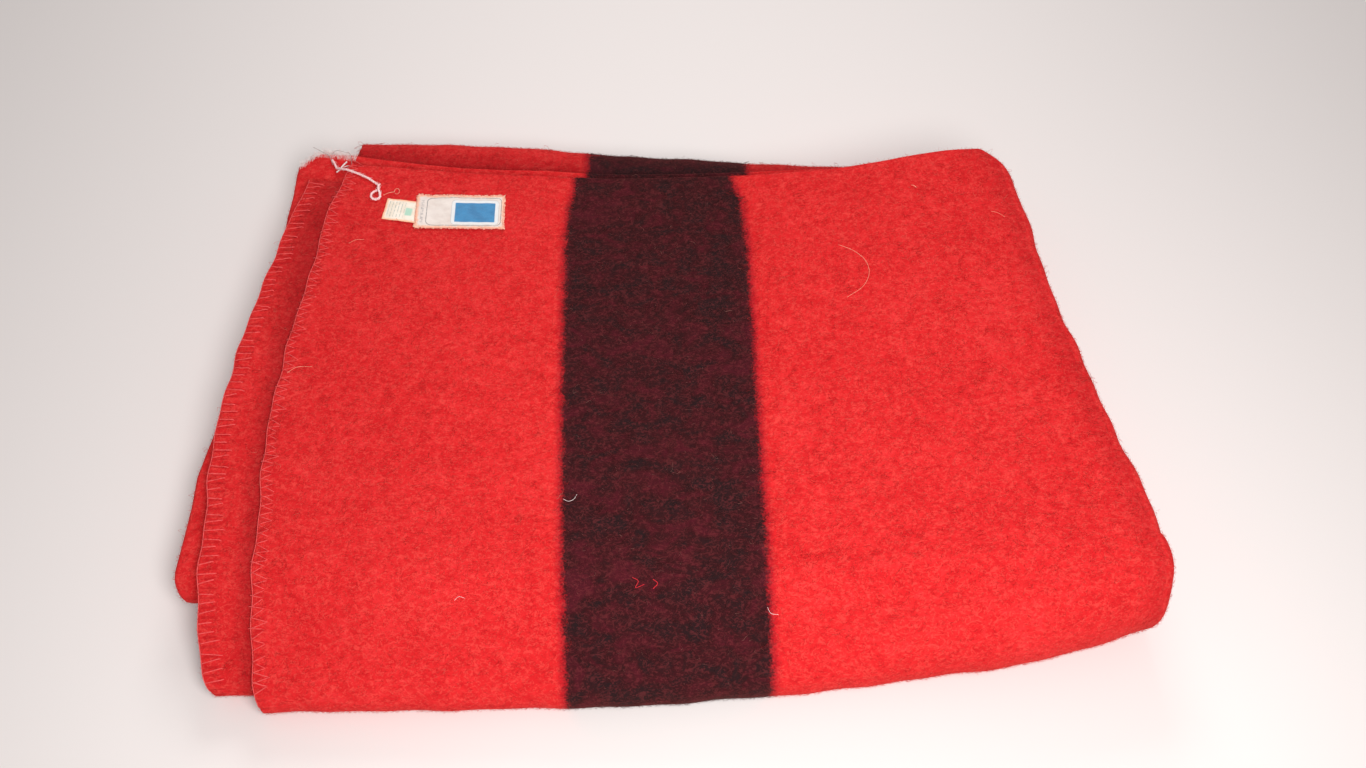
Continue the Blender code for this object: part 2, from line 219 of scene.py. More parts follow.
@dataclass(frozen=True)
class FoldPlan:
    """Where the cloth lies in its folds.

    The cloth is folded twice along its length into a bundle of four layers, counted from the
    bundle's inner side, and the bundle twice across its width.
    """

    thickness: float = 3.0 * MM
    pitch_left: float = 4.0 * MM
    pitch_right: tuple = (5.6 * MM, 5.1 * MM, 6.25 * MM)
    pitch_right_y: tuple = (340 * MM, 560 * MM, 800 * MM)
    rise_from_x: float = -60 * MM
    rise_to_x: float = 290 * MM
    unevenness: float = 0.02
    uneven_length_x: float = 70 * MM
    uneven_length_y: float = 90 * MM
    calm_until_x: float = -80 * MM
    calm_fade: float = 110 * MM
    outer_layer: float = 3.0
    layers_in_core: float = 9.0
    near_fold_flatness: float = 0.85
    far_fold_spring: float = 0.33
    setback: float = 19 * MM
    setback_from_x: float = -235 * MM
    setback_to_x: float = -155 * MM
    setback_rows: float = 0.2
    corner_draw_in: float = 11 * MM
    corner_from_x: float = -286 * MM
    corner_length: float = 20 * MM
    near_draw_in: float = 8.5 * MM
    near_draw_from_x: float = -245 * MM
    near_draw_length: float = 26 * MM
    panel_left: float = -235 * MM
    panel_right: float = 225 * MM
    rim_steps: tuple = (0.0 * MM, 0.45 * MM, 1.3 * MM, 4.0 * MM)
    first_share: float = 0.024
    last_row_inset: float = 9.0 * MM
    # How many stations a millimetre is beside a selvedge.
    rim_stations: float = 0.008
    second_band_shift: float = 45 * MM

    def line(self, name: str, x: Array) -> Array:
        """Gives y of a named line at x."""
        return curve_through(np.array(LINE_X) * MM, np.array(FOLD_LINES[name]) * MM, x)

    def edge(self, name: str, station: float) -> float:
        """Gives x of a named end or side fold at a station."""
        rows = np.array(EDGES)
        return float(curve_through(rows[:, 0], rows[:, EDGE_COLUMNS.index(name)] * MM, station))

    def pitch(self, x: Array, y: Array) -> Array:
        """Gives the distance from the middle of one layer to the middle of the next.

        Args:
            x, y: places along the pile and across it.

        Returns:
            The distance at each place.
        """
        right = curve_through(self.pitch_right_y, self.pitch_right, y)
        rise = smooth((x - self.rise_from_x) / (self.rise_to_x - self.rise_from_x))
        calm = smooth((x - self.calm_until_x) / self.calm_fade)
        wave = np.sin(x / self.uneven_length_x) * np.sin(y / self.uneven_length_y)
        opened = self.pitch_left + (right - self.pitch_left) * rise
        return opened * (1.0 + self.unevenness * calm * wave)

    def half_outer_fold(self, x: Array, y: Array, inner_radius: Array) -> Array:
        """Gives the distance from the middle of a fold's arc to its outermost face."""
        return inner_radius + self.outer_layer * self.pitch(x, y) + self.thickness / 2

    def far_fold_y(self, x: Array) -> Array:
        """Gives y of the far fold's middle.

        Args:
            x: places along the pile.

        Returns:
            y at each x.
        """
        back = self.line("far_fold_back", x)
        closed = back - self.half_outer_fold(x, back, self.pitch(x, back) / 2)
        spring = self.far_fold_spring / 2
        return (closed + spring * self.line("top_selvedge", x)) / (1.0 + spring)

    def far_spring(self, x: Array, y: Array) -> Array:
        """Gives how much the far fold has sprung open at y.

        Args:
            x, y: places along the pile and across it.

        Returns:
            The extra gap at each place.
        """
        selvedge = self.line("top_selvedge", x)
        reach = self.far_fold_y(x) - selvedge
        return self.far_fold_spring * reach * smooth((y - selvedge) / reach)

    def quarter_heights(self, x: Array, y: Array) -> tuple:
        """Gives the height of the innermost layer of the bottom, third and second quarters.

        Args:
            x, y: places along the pile and across it.

        Returns:
            The three heights at each place.
        """
        pitch = self.pitch(x, y)
        bottom = self.thickness / 2 + self.outer_layer * pitch
        third = bottom + pitch + self.far_spring(x, y)
        second = third + (2 * self.outer_layer + 1) * pitch
        return bottom, third, second

    def near_gap(self, x: Array) -> Array:
        """Gives the gap between the top and bottom quarters at the near fold.

        Args:
            x: places along the pile.

        Returns:
            The gap at each x.
        """
        opening = curve_through(np.array(LINE_X) * MM, NEAR_FOLD_OPENING, x)
        front = self.line("near_fold_front", x)
        return self.layers_in_core * self.pitch(x, front) * opening

    def near_fold_y(self, x: Array) -> Array:
        """Gives y of the near fold's middle."""
        front = self.line("near_fold_front", x)
        return front + self.half_outer_fold(x, front, self.near_fold_flatness * self.near_gap(x) / 2)

    def inner_fold_y(self, x: Array) -> Array:
        """Gives y of the inner fold's middle."""
        front = self.line("inner_fold_front", x)
        return front + self.half_outer_fold(x, front, self.pitch(x, front) / 2)

    def top_selvedge_y(self, x: Array) -> Array:
        """Gives y of the top quarter's selvedge."""
        return self.line("top_selvedge", x)

    def second_selvedge_y(self, x: Array) -> Array:
        """Gives y of the second quarter's selvedge, drawn in at the far left corner."""
        drawn_in = self.corner_draw_in * smooth((self.corner_from_x - x) / self.corner_length)
        return self.line("second_selvedge", x) - drawn_in

    def top_height(self, x: Array, y: Array) -> Array:
        """Gives the height of the top quarter's innermost layer, which slopes to the near fold.

        Args:
            x, y: places along the pile and across it.

        Returns:
            The height at each place.
        """
        bottom, _, second = self.quarter_heights(x, y)
        full = second + self.pitch(x, y) - bottom
        near = self.near_gap(x)
        share = smooth((y - self.near_fold_y(x)) / (self.inner_fold_y(x) - self.near_fold_y(x)))
        return bottom + near + (full - near) * share

    def top_face(self, x: Array, y: Array) -> Array:
        """Gives the height of the face that shows on top."""
        return self.top_height(x, y) + self.outer_layer * self.pitch(x, y) + self.thickness / 2

    def selvedge_setback(self, x: Array, layer: Array) -> Array:
        """Gives how far in a layer of the top quarter ends."""
        share = smooth((self.setback_to_x - x) / (self.setback_to_x - self.setback_from_x))
        return np.where(layer < self.outer_layer - 0.5, self.setback * share, 0.0)

    def near_draw(self, x: Array, layer: Array) -> Array:
        """Gives how far back the inner layers lie at the near fold's left end."""
        share = smooth((self.near_draw_from_x - x) / self.near_draw_length)
        return np.where(layer < self.outer_layer - 0.5, self.near_draw_in * share, 0.0)

    def flat_row(
        self, quarter: str, start: Callable, end: Callable, share: float, inset: float = 0.0
    ) -> Callable:
        """Makes the function that places one row of a flat quarter.

        Args:
            quarter: top, bottom, third or second.
            start: gives y of the line the rows start from.
            end: gives y of the line they go to.
            share: how far along the row is.
            inset: an extra distance towards the near side.

        Returns:
            A function from x and layer to y and z.
        """

        def place(x: Array, layer: Array) -> tuple:
            """Places the row's points: y and z for each x and layer."""
            y = start(x) + (end(x) - start(x)) * share - inset
            if start == self.top_selvedge_y and quarter == "top":
                y = y - self.selvedge_setback(x, layer) * max(0.0, 1.0 - share / self.setback_rows)
            if self.near_fold_y in (start, end):
                y = y + self.near_draw(x, layer) * (share if end == self.near_fold_y else 1.0 - share)
            bottom, third, second = self.quarter_heights(x, y)
            offset = layer * self.pitch(x, y)
            heights = {
                "top": self.top_height(x, y) + offset,
                "bottom": bottom - offset,
                "third": third + offset,
                "second": second - offset,
            }
            return y, heights[quarter]

        return place

    def fold_row(self, name: str, share: float) -> Callable:
        """Makes the function that places one row of a fold.

        Args:
            name: near, far or inner.
            share: how far round the fold's half turn the row is.

        Returns:
            A function from x and layer to y and z.
        """
        sin, cos = math.sin(math.pi * share), math.cos(math.pi * share)

        def near(x: Array, layer: Array) -> tuple:
            """Places the points of a row round the near fold."""
            y = self.near_fold_y(x) + self.near_draw(x, layer)
            half, offset = self.near_gap(x) / 2, layer * self.pitch(x, y)
            middle = self.quarter_heights(x, y)[0] + half
            return y - (self.near_fold_flatness * half + offset) * sin, middle + (half + offset) * cos

        def far(x: Array, layer: Array) -> tuple:
            """Places the points of a row round the far fold."""
            y = self.far_fold_y(x)
            bottom, third, _ = self.quarter_heights(x, y)
            radius = (third - bottom) / 2 + layer * self.pitch(x, y)
            return y + radius * sin, (bottom + third) / 2 - radius * cos

        def inner(x: Array, layer: Array) -> tuple:
            """Places the points of a row round the inner fold."""
            y = self.inner_fold_y(x)
            _, third, second = self.quarter_heights(x, y)
            radius = self.pitch(x, y) * (0.5 + self.outer_layer - layer)
            return y - radius * sin, (third + second) / 2 - radius * cos

        return {"near": near, "far": far, "inner": inner}[name]

    def rows(self) -> list[Row]:
        """Lists every row of points.

        Returns:
            The rows from the top selvedge to the second one.
        """
        top, inner, near = self.top_selvedge_y, self.inner_fold_y, self.near_fold_y
        far, last = self.far_fold_y, self.second_selvedge_y
        # Each flat quarter or fold: the lines it runs between, its stations and how many rows.
        stretches = (
            ("top", top, inner, 0.0, 3.0, 76),
            ("top", inner, near, 3.0, 3.7, 14),
            ("near", None, None, 3.7, 4.3, 22),
            ("bottom", near, inner, 4.3, 4.5, 7),
            ("bottom", inner, top, 4.5, 5.6, 17),
            ("bottom", top, far, 5.6, 5.7, 6),
            ("far", None, None, 5.7, 6.3, 16),
            ("third", far, top, 6.3, 6.4, 6),
            ("third", top, inner, 6.4, 7.7, 14),
            ("inner", None, None, 7.7, 8.3, 9),
            ("second", inner, top, 8.3, 9.9, 15),
        )
        found = [
            Row(inset / MM * self.rim_stations, self.flat_row("top", top, inner, 0.0, inset), inset)
            for inset in self.rim_steps
        ]
        for name, start, end, station, last_station, steps in stretches:
            first = 0.0 if station else self.first_share
            for i in range(steps):
                share = first + (1.0 - first) * i / steps
                flat = start and self.flat_row(name, start, end, share)
                place = flat or self.fold_row(name, share)
                found.append(Row(station + (last_station - station) * share, place))
        for inset in (self.last_row_inset, *reversed(self.rim_steps)):
            place = self.flat_row("second", top, last, 1.0, inset)
            found.append(Row(10.0 - inset / MM * self.rim_stations, place, inset))
        return found

    def span(
        self, start: object, end: object, steps: int, layer: float, shift: float = 0.0
    ) -> list[Column]:
        """Lists the columns between two lines.

        Args:
            start, end: x of each line, or a function that gives it from a station and a layer pitch.
            steps: how many steps there are; the lines themselves are in only if both are fixed.
            layer: the bundle's layer that the columns are in.
            shift: how far the dark band is moved in it.

        Returns:
            The columns from the first line to the second.
        """
        moving = callable(start) or callable(end)
        from_line, to_line = (at if callable(at) else lambda s, p, at=at: at for at in (start, end))
        shares = [i / steps for i in range(steps + 1)][1 if moving else 0 : steps if moving else None]
        return [
            Column(lambda s, p, t=t: from_line(s, p) * (1 - t) + to_line(s, p) * t, layer, shift)
            for t in shares
        ]

    def end_columns(self, name: str, layer: float, shift: float, steps: int) -> list[Column]:
        """Lists the columns between a cut end and the shared panel.

        Args:
            name: top_end or second_end.
            layer, shift, steps: as for span.

        Returns:
            The columns from the end inwards.
        """
        rims = [
            Column(lambda s, p, rim=rim: self.edge(name, s) + rim, layer, shift, rim)
            for rim in self.rim_steps
        ]
        inset = self.rim_steps[-1]
        return rims + self.span(lambda s, p: self.edge(name, s) + inset, self.panel_left, steps, layer, shift)

    def fold_columns(
        self, base: Callable, outward: float, layers: tuple, steps: int, last_shift: float = 0.0
    ) -> list[Column]:
        """Lists the columns round one side fold.

        Args:
            base: gives x of the fold's middle from a station and a layer pitch.
            outward: 1 where the fold bulges to the right and -1 to the left.
            layers: the layers before and after the fold.
            steps: how many steps the half turn has.
            last_shift: how far the dark band is moved past the fold's middle.

        Returns:
            The columns round the fold.
        """
        middle, half = (layers[0] + layers[1]) / 2, (layers[0] - layers[1]) / 2
        made = []
        for i in range(steps + 1):
            angle = math.pi * i / steps
            bulge = outward * abs(half) * math.sin(angle)
            shift = 0.0 if i < steps / 2 else last_shift
            layer = middle + half * math.cos(angle)
            made.append(Column(lambda s, p, bulge=bulge: base(s, p) + bulge * p, layer, shift))
        return made

    def right_middle(self, station: float, pitch: float) -> float:
        """Gives x of the middle of the right-hand folds."""
        return self.edge("right_fold", station) - self.outer_layer / 2 * pitch - self.thickness / 2

    def left_middle(self, station: float, pitch: float) -> float:
        """Gives x of the middle of the left-hand fold."""
        return self.edge("left_fold", station)

    def columns(self) -> list[Column]:
        """Lists every column of points.

        Returns:
            The columns from the top end to the second end.
        """
        left, right, shift = self.panel_left, self.panel_right, self.second_band_shift
        outer, inner = self.right_middle, self.left_middle
        return [
            *self.end_columns("top_end", 3.0, 0.0, 8),
            *self.span(left, right, 94, 3.0),
            *self.span(right, outer, 20, 3.0),
            *self.fold_columns(outer, 1.0, (3.0, 0.0), 12),
            *self.span(outer, right, 4, 0.0),
            *self.span(right, left, 13, 0.0),
            *self.span(left, inner, 8, 0.0),
            *self.fold_columns(inner, -1.0, (0.0, 1.0), 6),
            *self.span(inner, left, 8, 1.0),
            *self.span(left, right, 13, 1.0),
            *self.span(right, outer, 4, 1.0),
            *self.fold_columns(outer, 1.0, (1.0, 2.0), 6, shift),
            *self.span(outer, right, 4, 2.0, shift),
            *self.span(right, left, 13, 2.0, shift),
            *reversed(self.end_columns("second_end", 2.0, shift, 13)),
        ]


@dataclass(frozen=True)
class Settling:
    """The small irregularities of cloth that has lain in a pile.

    They are one smooth warp of the space that the pile takes, so layers never meet.
    """

    side_from: float = 190 * MM
    side_fade: float = 70 * MM
    side_amount: float = 1.5 * MM
    side_lengths: tuple = (37 * MM, 61 * MM, 118 * MM)
    front_from: float = 150 * MM
    front_fade: float = 70 * MM
    front_amount: float = 1.1 * MM
    front_lengths: tuple = (41 * MM, 73 * MM, 134 * MM)
    lump_amount: float = 1.4 * MM
    lump_lengths: tuple = (47 * MM, 83 * MM, 151 * MM)
    rise_from: float = 16 * MM
    rise_length: float = 36 * MM

    def apply(self, points: Array) -> Array:
        """Moves points by the warp.

        Args:
            points: an array whose last axis is x, y and z from the pile's middle.

        Returns:
            The moved points.
        """
        x, y, z = points[..., 0], points[..., 1], points[..., 2]
        rise = smooth((z - self.rise_from) / self.rise_length)
        low = smooth(z / self.rise_from)
        side = smooth((np.abs(x) - self.side_from) / self.side_fade)
        front = smooth((np.abs(y) - self.front_from) / self.front_fade)
        lumps = waves(x + 0.6 * y, self.lump_lengths, 1.1) * waves(y - 0.5 * x, self.lump_lengths, 2.3)
        sideways = self.side_amount * side * low * waves(y + 0.2 * z, self.side_lengths, 0.7)
        forwards = self.front_amount * front * low * waves(x + 0.3 * z, self.front_lengths, 1.9)
        upwards = self.lump_amount * rise * lumps
        return np.stack([x + sideways, y + forwards, z + upwards], axis=-1)


class Field:
    """One value that nodes pass on, with the plain arithmetic that formulas need."""

    def __init__(self, socket: bpy.types.NodeSocket) -> None:
        """Keeps the output that gives the value."""
        self.socket = socket

    def worked(self, operation: str, *others: object) -> "Field":
        """Works out a new value from this one and up to two others."""
        values = dict(enumerate((self, *others)))
        return add(self.socket.id_data, "ShaderNodeMath", values, operation=operation)

    def __add__(self, other: object) -> "Field":
        """Adds another value."""
        return self.worked("ADD", other)

    def __sub__(self, other: object) -> "Field":
        """Takes another value away."""
        return self.worked("SUBTRACT", other)

    def __mul__(self, other: object) -> "Field":
        """Multiplies by another value."""
        return self.worked("MULTIPLY", other)

    def __abs__(self) -> "Field":
        """Drops the sign."""
        return self.worked("ABSOLUTE")

    def larger(self, other: object) -> "Field":
        """Gives the larger of two values."""
        return self.worked("MAXIMUM", other)

    def wave(self, pitch: float) -> "Field":
        """Gives a sine wave that repeats at this pitch."""
        return (self * (2 * math.pi / pitch)).worked("SINE")

    def ease(self, start: float, end: float) -> "Field":
        """Maps the value smoothly from a range onto 0 to 1."""
        values = {0: self, 1: start, 2: end}
        return add(self.socket.id_data, "ShaderNodeMapRange", values, interpolation_type="SMOOTHSTEP")


def add(tree: NodeTree, kind: str, inputs: dict, out: object = 0, **settings: object) -> Field:
    """Adds one node with its settings, values and links.

    Args:
        tree: the node tree.
        kind: the node's type name.
        inputs: socket name or index to a value or a field.
        out: name or index of the output that is wanted.
        settings: properties of the node.

    Returns:
        The wanted output.
    """
    node = tree.nodes.new(kind)
    for name, value in settings.items():
        setattr(node, name, value)
    for key, value in inputs.items():
        if isinstance(value, Field):
            tree.links.new(value.socket, node.inputs[key])
        else:
            node.inputs[key].default_value = value
    return Field(node.outputs[out])


@dataclass(frozen=True)
class Grain:
    """An uneven pattern: the real size of its largest features, and how it breaks up."""

    size: float
    detail: float = 2.0
    rough: float = 0.5
    twist: float = 0.0
    stretch: tuple = (1.0, 1.0, 1.0)
    shift: tuple = (0.0, 0.0, 0.0)

    def on(self, tree: NodeTree) -> Field:
        """Lays the pattern over the object's own coordinates.

        Args:
            tree: the material's nodes.

        Returns:
            The pattern, from 0 to 1.
        """
        place = add(tree, "ShaderNodeTexCoord", {}, "Object")
        laid = {"Vector": place, "Scale": self.stretch, "Location": self.shift}
        inputs = {
            "Vector": add(tree, "ShaderNodeMapping", laid),
            "Scale": 1.0 / self.size,
            "Detail": self.detail,
            "Roughness": self.rough,
            "Distortion": self.twist,
        }
        return add(tree, "ShaderNodeTexNoise", inputs)


class Paint:
    """A material under construction: its nodes and the shader that they end in."""

    def __init__(self, name: str, **values: object) -> None:
        """Starts a material.

        Args:
            name: the material's name.
            values: what is the same all over, by the shader's sockets, with _ for a space.
        """
        self.material = bpy.data.materials.new(name)
        self.material.use_nodes = True
        self.tree = self.material.node_tree
        self.shader = self.tree.nodes["Principled BSDF"]
        for key, value in values.items():
            self.shader.inputs[key.replace("_", " ")].default_value = value

    def stored(self, name: str) -> Field:
        """Reads a number stored on the mesh."""
        return add(self.tree, "ShaderNodeAttribute", {}, "Fac", attribute_name=name)

    def coated(self, ground: object, *coats: tuple) -> Field:
        """Lays coats of colour over one another.

        Args:
            ground: the first colour, as hex digits or a field.
            coats: for each coat the share of it that shows, and its colour.

        Returns:
            The colour that shows in the end.
        """
        for share, coat in coats:
            over, under = (linear(c) if isinstance(c, str) else c for c in (coat, ground))
            values = {0: share, 6: under, 7: over}
            ground = add(self.tree, "ShaderNodeMix", values, 2, data_type="RGBA")
        return ground

    def finished(
        self, colour: Field, height: Optional[Field] = None, depth: float = 0.0, strength: float = 0.0
    ) -> Material:
        """Links the colour and the relief.

        Args:
            colour: the base colour.
            height: the relief, from 0 to about 1, or None.
            depth: how deep the relief is, in metres.
            strength: how strongly it shows.

        Returns:
            The material.
        """
        self.tree.links.new(colour.socket, self.shader.inputs["Base Color"])
        if height:
            values = {"Height": height, "Distance": depth, "Strength": strength}
            bump = add(self.tree, "ShaderNodeBump", values)
            self.tree.links.new(bump.socket, self.shader.inputs["Normal"])
        return self.material


def band_share(paint: Paint) -> Field:
    """Gives 1 on the dark band and 0 off it, with a feathered, fibrous border.

    Args:
        paint: the material under construction.

    Returns:
        The share of the band's colours.
    """
    slow = (Grain(9 * MM).on(paint.tree) - 0.5) * (6 * MM)
    quick = (Grain(1.6 * MM).on(paint.tree) - 0.5) * (9 * MM)
    away = abs(paint.stored("band_x")) - BAND_HALF_WIDTH
    return (away + (slow + quick)).ease(3.0 * MM, -3.0 * MM)


@dataclass(frozen=True)
class WoolFinish:
    """Fulled wool, brushed on its face: a fine felt with light curling fibres over small dark gaps, with
    painted shade in its creases and recesses.
    """

    name: str = "fulled_scarlet_wool"
    # The dark red of the felt's small gaps, also used as painted shade in the stitch creases.
    gap_and_crease_shade: str = "#b0171d"
    deep: str = "#ca2024"
    middle: str = "#d42729"
    bright: str = "#dc3032"
    fibre: str = "#f46256"
    pale: str = "#ff8d78"
    navy: str = "#26191b"
    plum: str = "#361518"
    wine: str = "#4c1720"
    band_fibre: str = "#702e31"
    band_pale: str = "#b88478"
    border: str = "#8e1022"
    shadow: str = "#6e0a12"
    sheen: str = "#ff8a7c"
    mottle: Grain = Grain(6.0 * MM, 5.0, 0.66, 0.5, (0.7, 1.0, 1.0))
    felt: Grain = Grain(1.3 * MM, 3.0, 0.6, 0.8, (0.6, 1.0, 1.0))
    openings: Grain = Grain(2.3 * MM, 2.0, 0.55, 0.9, (0.5, 1.0, 1.0))
    patches: Grain = Grain(17.0 * MM, 4.0, 0.62, 0.7, (0.7, 1.0, 1.0), (0.2, 0.4, 0.0))
    clouds: Grain = Grain(55 * MM)
    # The fibres that lie over the felt: the size of a curl, its line's width and its shift.
    curl_kinds: tuple = ((6.5 * MM, 0.045, 0.1), (5.0 * MM, 0.05, 0.5), (3.4 * MM, 0.05, 0.9))
    # The stitched ends: the stored distance from each, its stitches' pitch and their reach.
    crease_kinds: tuple = (
        ("from_top_end", 7.4 * MM, 10 * MM),
        ("from_second_end", 6.7 * MM, 15 * MM),
    )
    depth: float = 0.7 * MM
    relief: float = 0.65
    # How dark the painted shade is at its strongest.
    shade: float = 0.50
    tone_share: float = 0.10

    def curls(self, paint: Paint) -> Field:
        """Gives broken, curling lines: the fibres that lie over the felt.

        Args:
            paint: the material under construction.

        Returns:
            1 on the lines and 0 between them.
        """
        lines = []
        for size, width, shift in self.curl_kinds:
            laid = {"stretch": (0.75, 1.0, 1.0), "shift": (shift, 0.7 * shift, 0.0)}
            away = abs(Grain(size, 1.5, 0.5, 1.3, **laid).on(paint.tree) - 0.5)
            kept = Grain(0.6 * size, 1.0, **laid).on(paint.tree).ease(0.46, 0.58)
            lines.append(away.ease(width, width * 0.25) * kept)
        return reduce(Field.larger, lines)

    def creases(self, paint: Paint) -> Field:
        """Gives the creases that the edge thread pulls into the cloth along its ends: they dent the relief,
        and the colour is darkened in them as painted shade.

        Args:
            paint: the material under construction.

        Returns:
            1 in the creases and 0 elsewhere.
        """
        found = []
        for name, pitch, reach in self.crease_kinds:
            inset = paint.stored(name)
            wave = paint.stored("along_end").wave(pitch).ease(0.45, 1.0)
            near = inset.ease(reach, reach * 0.6) * inset.ease(0.8 * MM, 2.5 * MM)
            found.append(wave * near)
        return reduce(Field.larger, found)

    def tones(self, paint: Paint) -> tuple[Field, Field]:
        """Builds the cloth's colour, painted shade included, and its relief, both from the same patterns.

        Args:
            paint: the material under construction.

        Returns:
            The colour and the relief.
        """
        mottle, felt = self.mottle.on(paint.tree), self.felt.on(paint.tree)
        gaps = self.openings.on(paint.tree).ease(0.41, 0.31)
        patches = self.patches.on(paint.tree)
        curls, creases = self.curls(paint), self.creases(paint)
        body = mottle + (self.clouds.on(paint.tree) - 0.5) * 0.3
        edge = abs(paint.stored("band_x")).ease(BAND_HALF_WIDTH + 7 * MM, BAND_HALF_WIDTH + 0.5 * MM)
        red = paint.coated(
            self.deep,
            (body.ease(0.34, 0.54), self.middle),
            (body.ease(0.48, 0.70), self.bright),
            (gaps * 0.30, self.gap_and_crease_shade),
            (curls * 0.27, self.fibre),
            # Painted shade in the stitch creases: the gap colour darkens them.
            (creases * 0.5, self.gap_and_crease_shade),
            (edge * 0.5, self.border),
        )
        dark = paint.coated(
            self.navy,
            (patches.ease(0.34, 0.54), self.plum),
            (patches.ease(0.48, 0.68), self.wine),
            (gaps * 0.35, self.navy),
            (curls * 0.40, self.band_fibre),
        )
        share = band_share(paint)
        shadow = paint.coated(self.shadow, (share, self.navy))
        # Painted shade: the stored shade value darkens the colour towards a deep red shadow colour, navy on
        # the band.
        colour = paint.coated(red, (share, dark), (paint.stored("recess") * self.shade, shadow))
        height = mottle * 0.8 + felt * 0.4 - gaps * 0.15 + curls * 0.15 - creases * 0.6
        return colour, height

    def make(self) -> Material:
        """Builds the cloth's material.

        Returns:
            The material.
        """
        look = {"Roughness": 0.95, "Specular_IOR_Level": 0.05, "Sheen_Tint": linear(self.sheen)}
        paint = Paint(self.name, Sheen_Weight=0.08, Sheen_Roughness=0.5, **look)
        return paint.finished(*self.tones(paint), self.depth, self.relief)

    def make_nap(self) -> Material:
        """Builds the nap's material: the cloth's colours with their painted shade, each fibre with a tone of
        its own.

        Returns:
            The material.
        """
        look = {"Roughness": 0.9, "Specular_IOR_Level": 0.08, "Sheen_Tint": linear(self.sheen)}
        paint = Paint("wool_nap", Sheen_Weight=0.16, **look)
        colour, _ = self.tones(paint)
        tone, on_band = paint.stored("tone"), band_share(paint)
        light = paint.coated(self.fibre, (on_band, self.band_fibre))
        pale = paint.coated(self.pale, (on_band, self.band_pale))
        colour = paint.coated(
            colour,
            (tone.ease(0.9, 0.0) * self.tone_share, "#000000"),
            (tone.ease(0.6, 1.0) * 0.22, light),
            (tone.ease(0.965, 1.0) * 0.6, pale),
        )
        return paint.finished(colour)


@dataclass(frozen=True)
class ThreadFinish:
    """Spun thread or loose fibre of one colour, a little uneven."""

    name: str
    light: str
    dark: str
    relief: float = 0.0
    unevenness: Grain = Grain(2.0 * MM, 3.0, 0.6)
    twist: Grain = Grain(0.35 * MM, 2.0, 0.6)

    def make(self) -> Material:
        """Builds the thread's material.

        Returns:
            The material.
        """
        paint = Paint(self.name, Roughness=0.85, Sheen_Weight=0.08, Specular_IOR_Level=0.2)
        uneven = self.unevenness.on(paint.tree).ease(0.3, 0.7)
        colour = paint.coated(self.dark, (uneven, self.light))
        height = self.twist.on(paint.tree) if self.relief else None
        return paint.finished(colour, height, self.relief, 0.6)


@dataclass(frozen=True)
class Area:
    """A rectangle with rounded corners on a patch's own map."""

    centre: tuple
    half: tuple
    corner: float = 0.0

    def distance(self, place: tuple) -> Field:
        """Gives how far a place is outside the rectangle, negative inside.

        Args:
            place: the two coordinates on the patch's map.

        Returns:
            The distance in metres.
        """
        sides = [abs(place[k] - self.centre[k]) - (self.half[k] - self.corner) for k in (0, 1)]
        inside = sides[0].larger(sides[1]).worked("MINIMUM", 0.0)
        u, v = (side.larger(0.0) for side in sides)
        return inside + u.worked("MULTIPLY_ADD", u, v * v).worked("SQRT") - self.corner


def patch_places(paint: Paint) -> tuple[Field, Field]:
    """Gives the two coordinates of a patch's own UV map, in metres from its middle."""
    on_map = add(paint.tree, "ShaderNodeUVMap", {}, uv_map="patch")
    parts = {k: add(paint.tree, "ShaderNodeSeparateXYZ", {0: on_map}, k) for k in (0, 1)}
    return parts[0], parts[1]


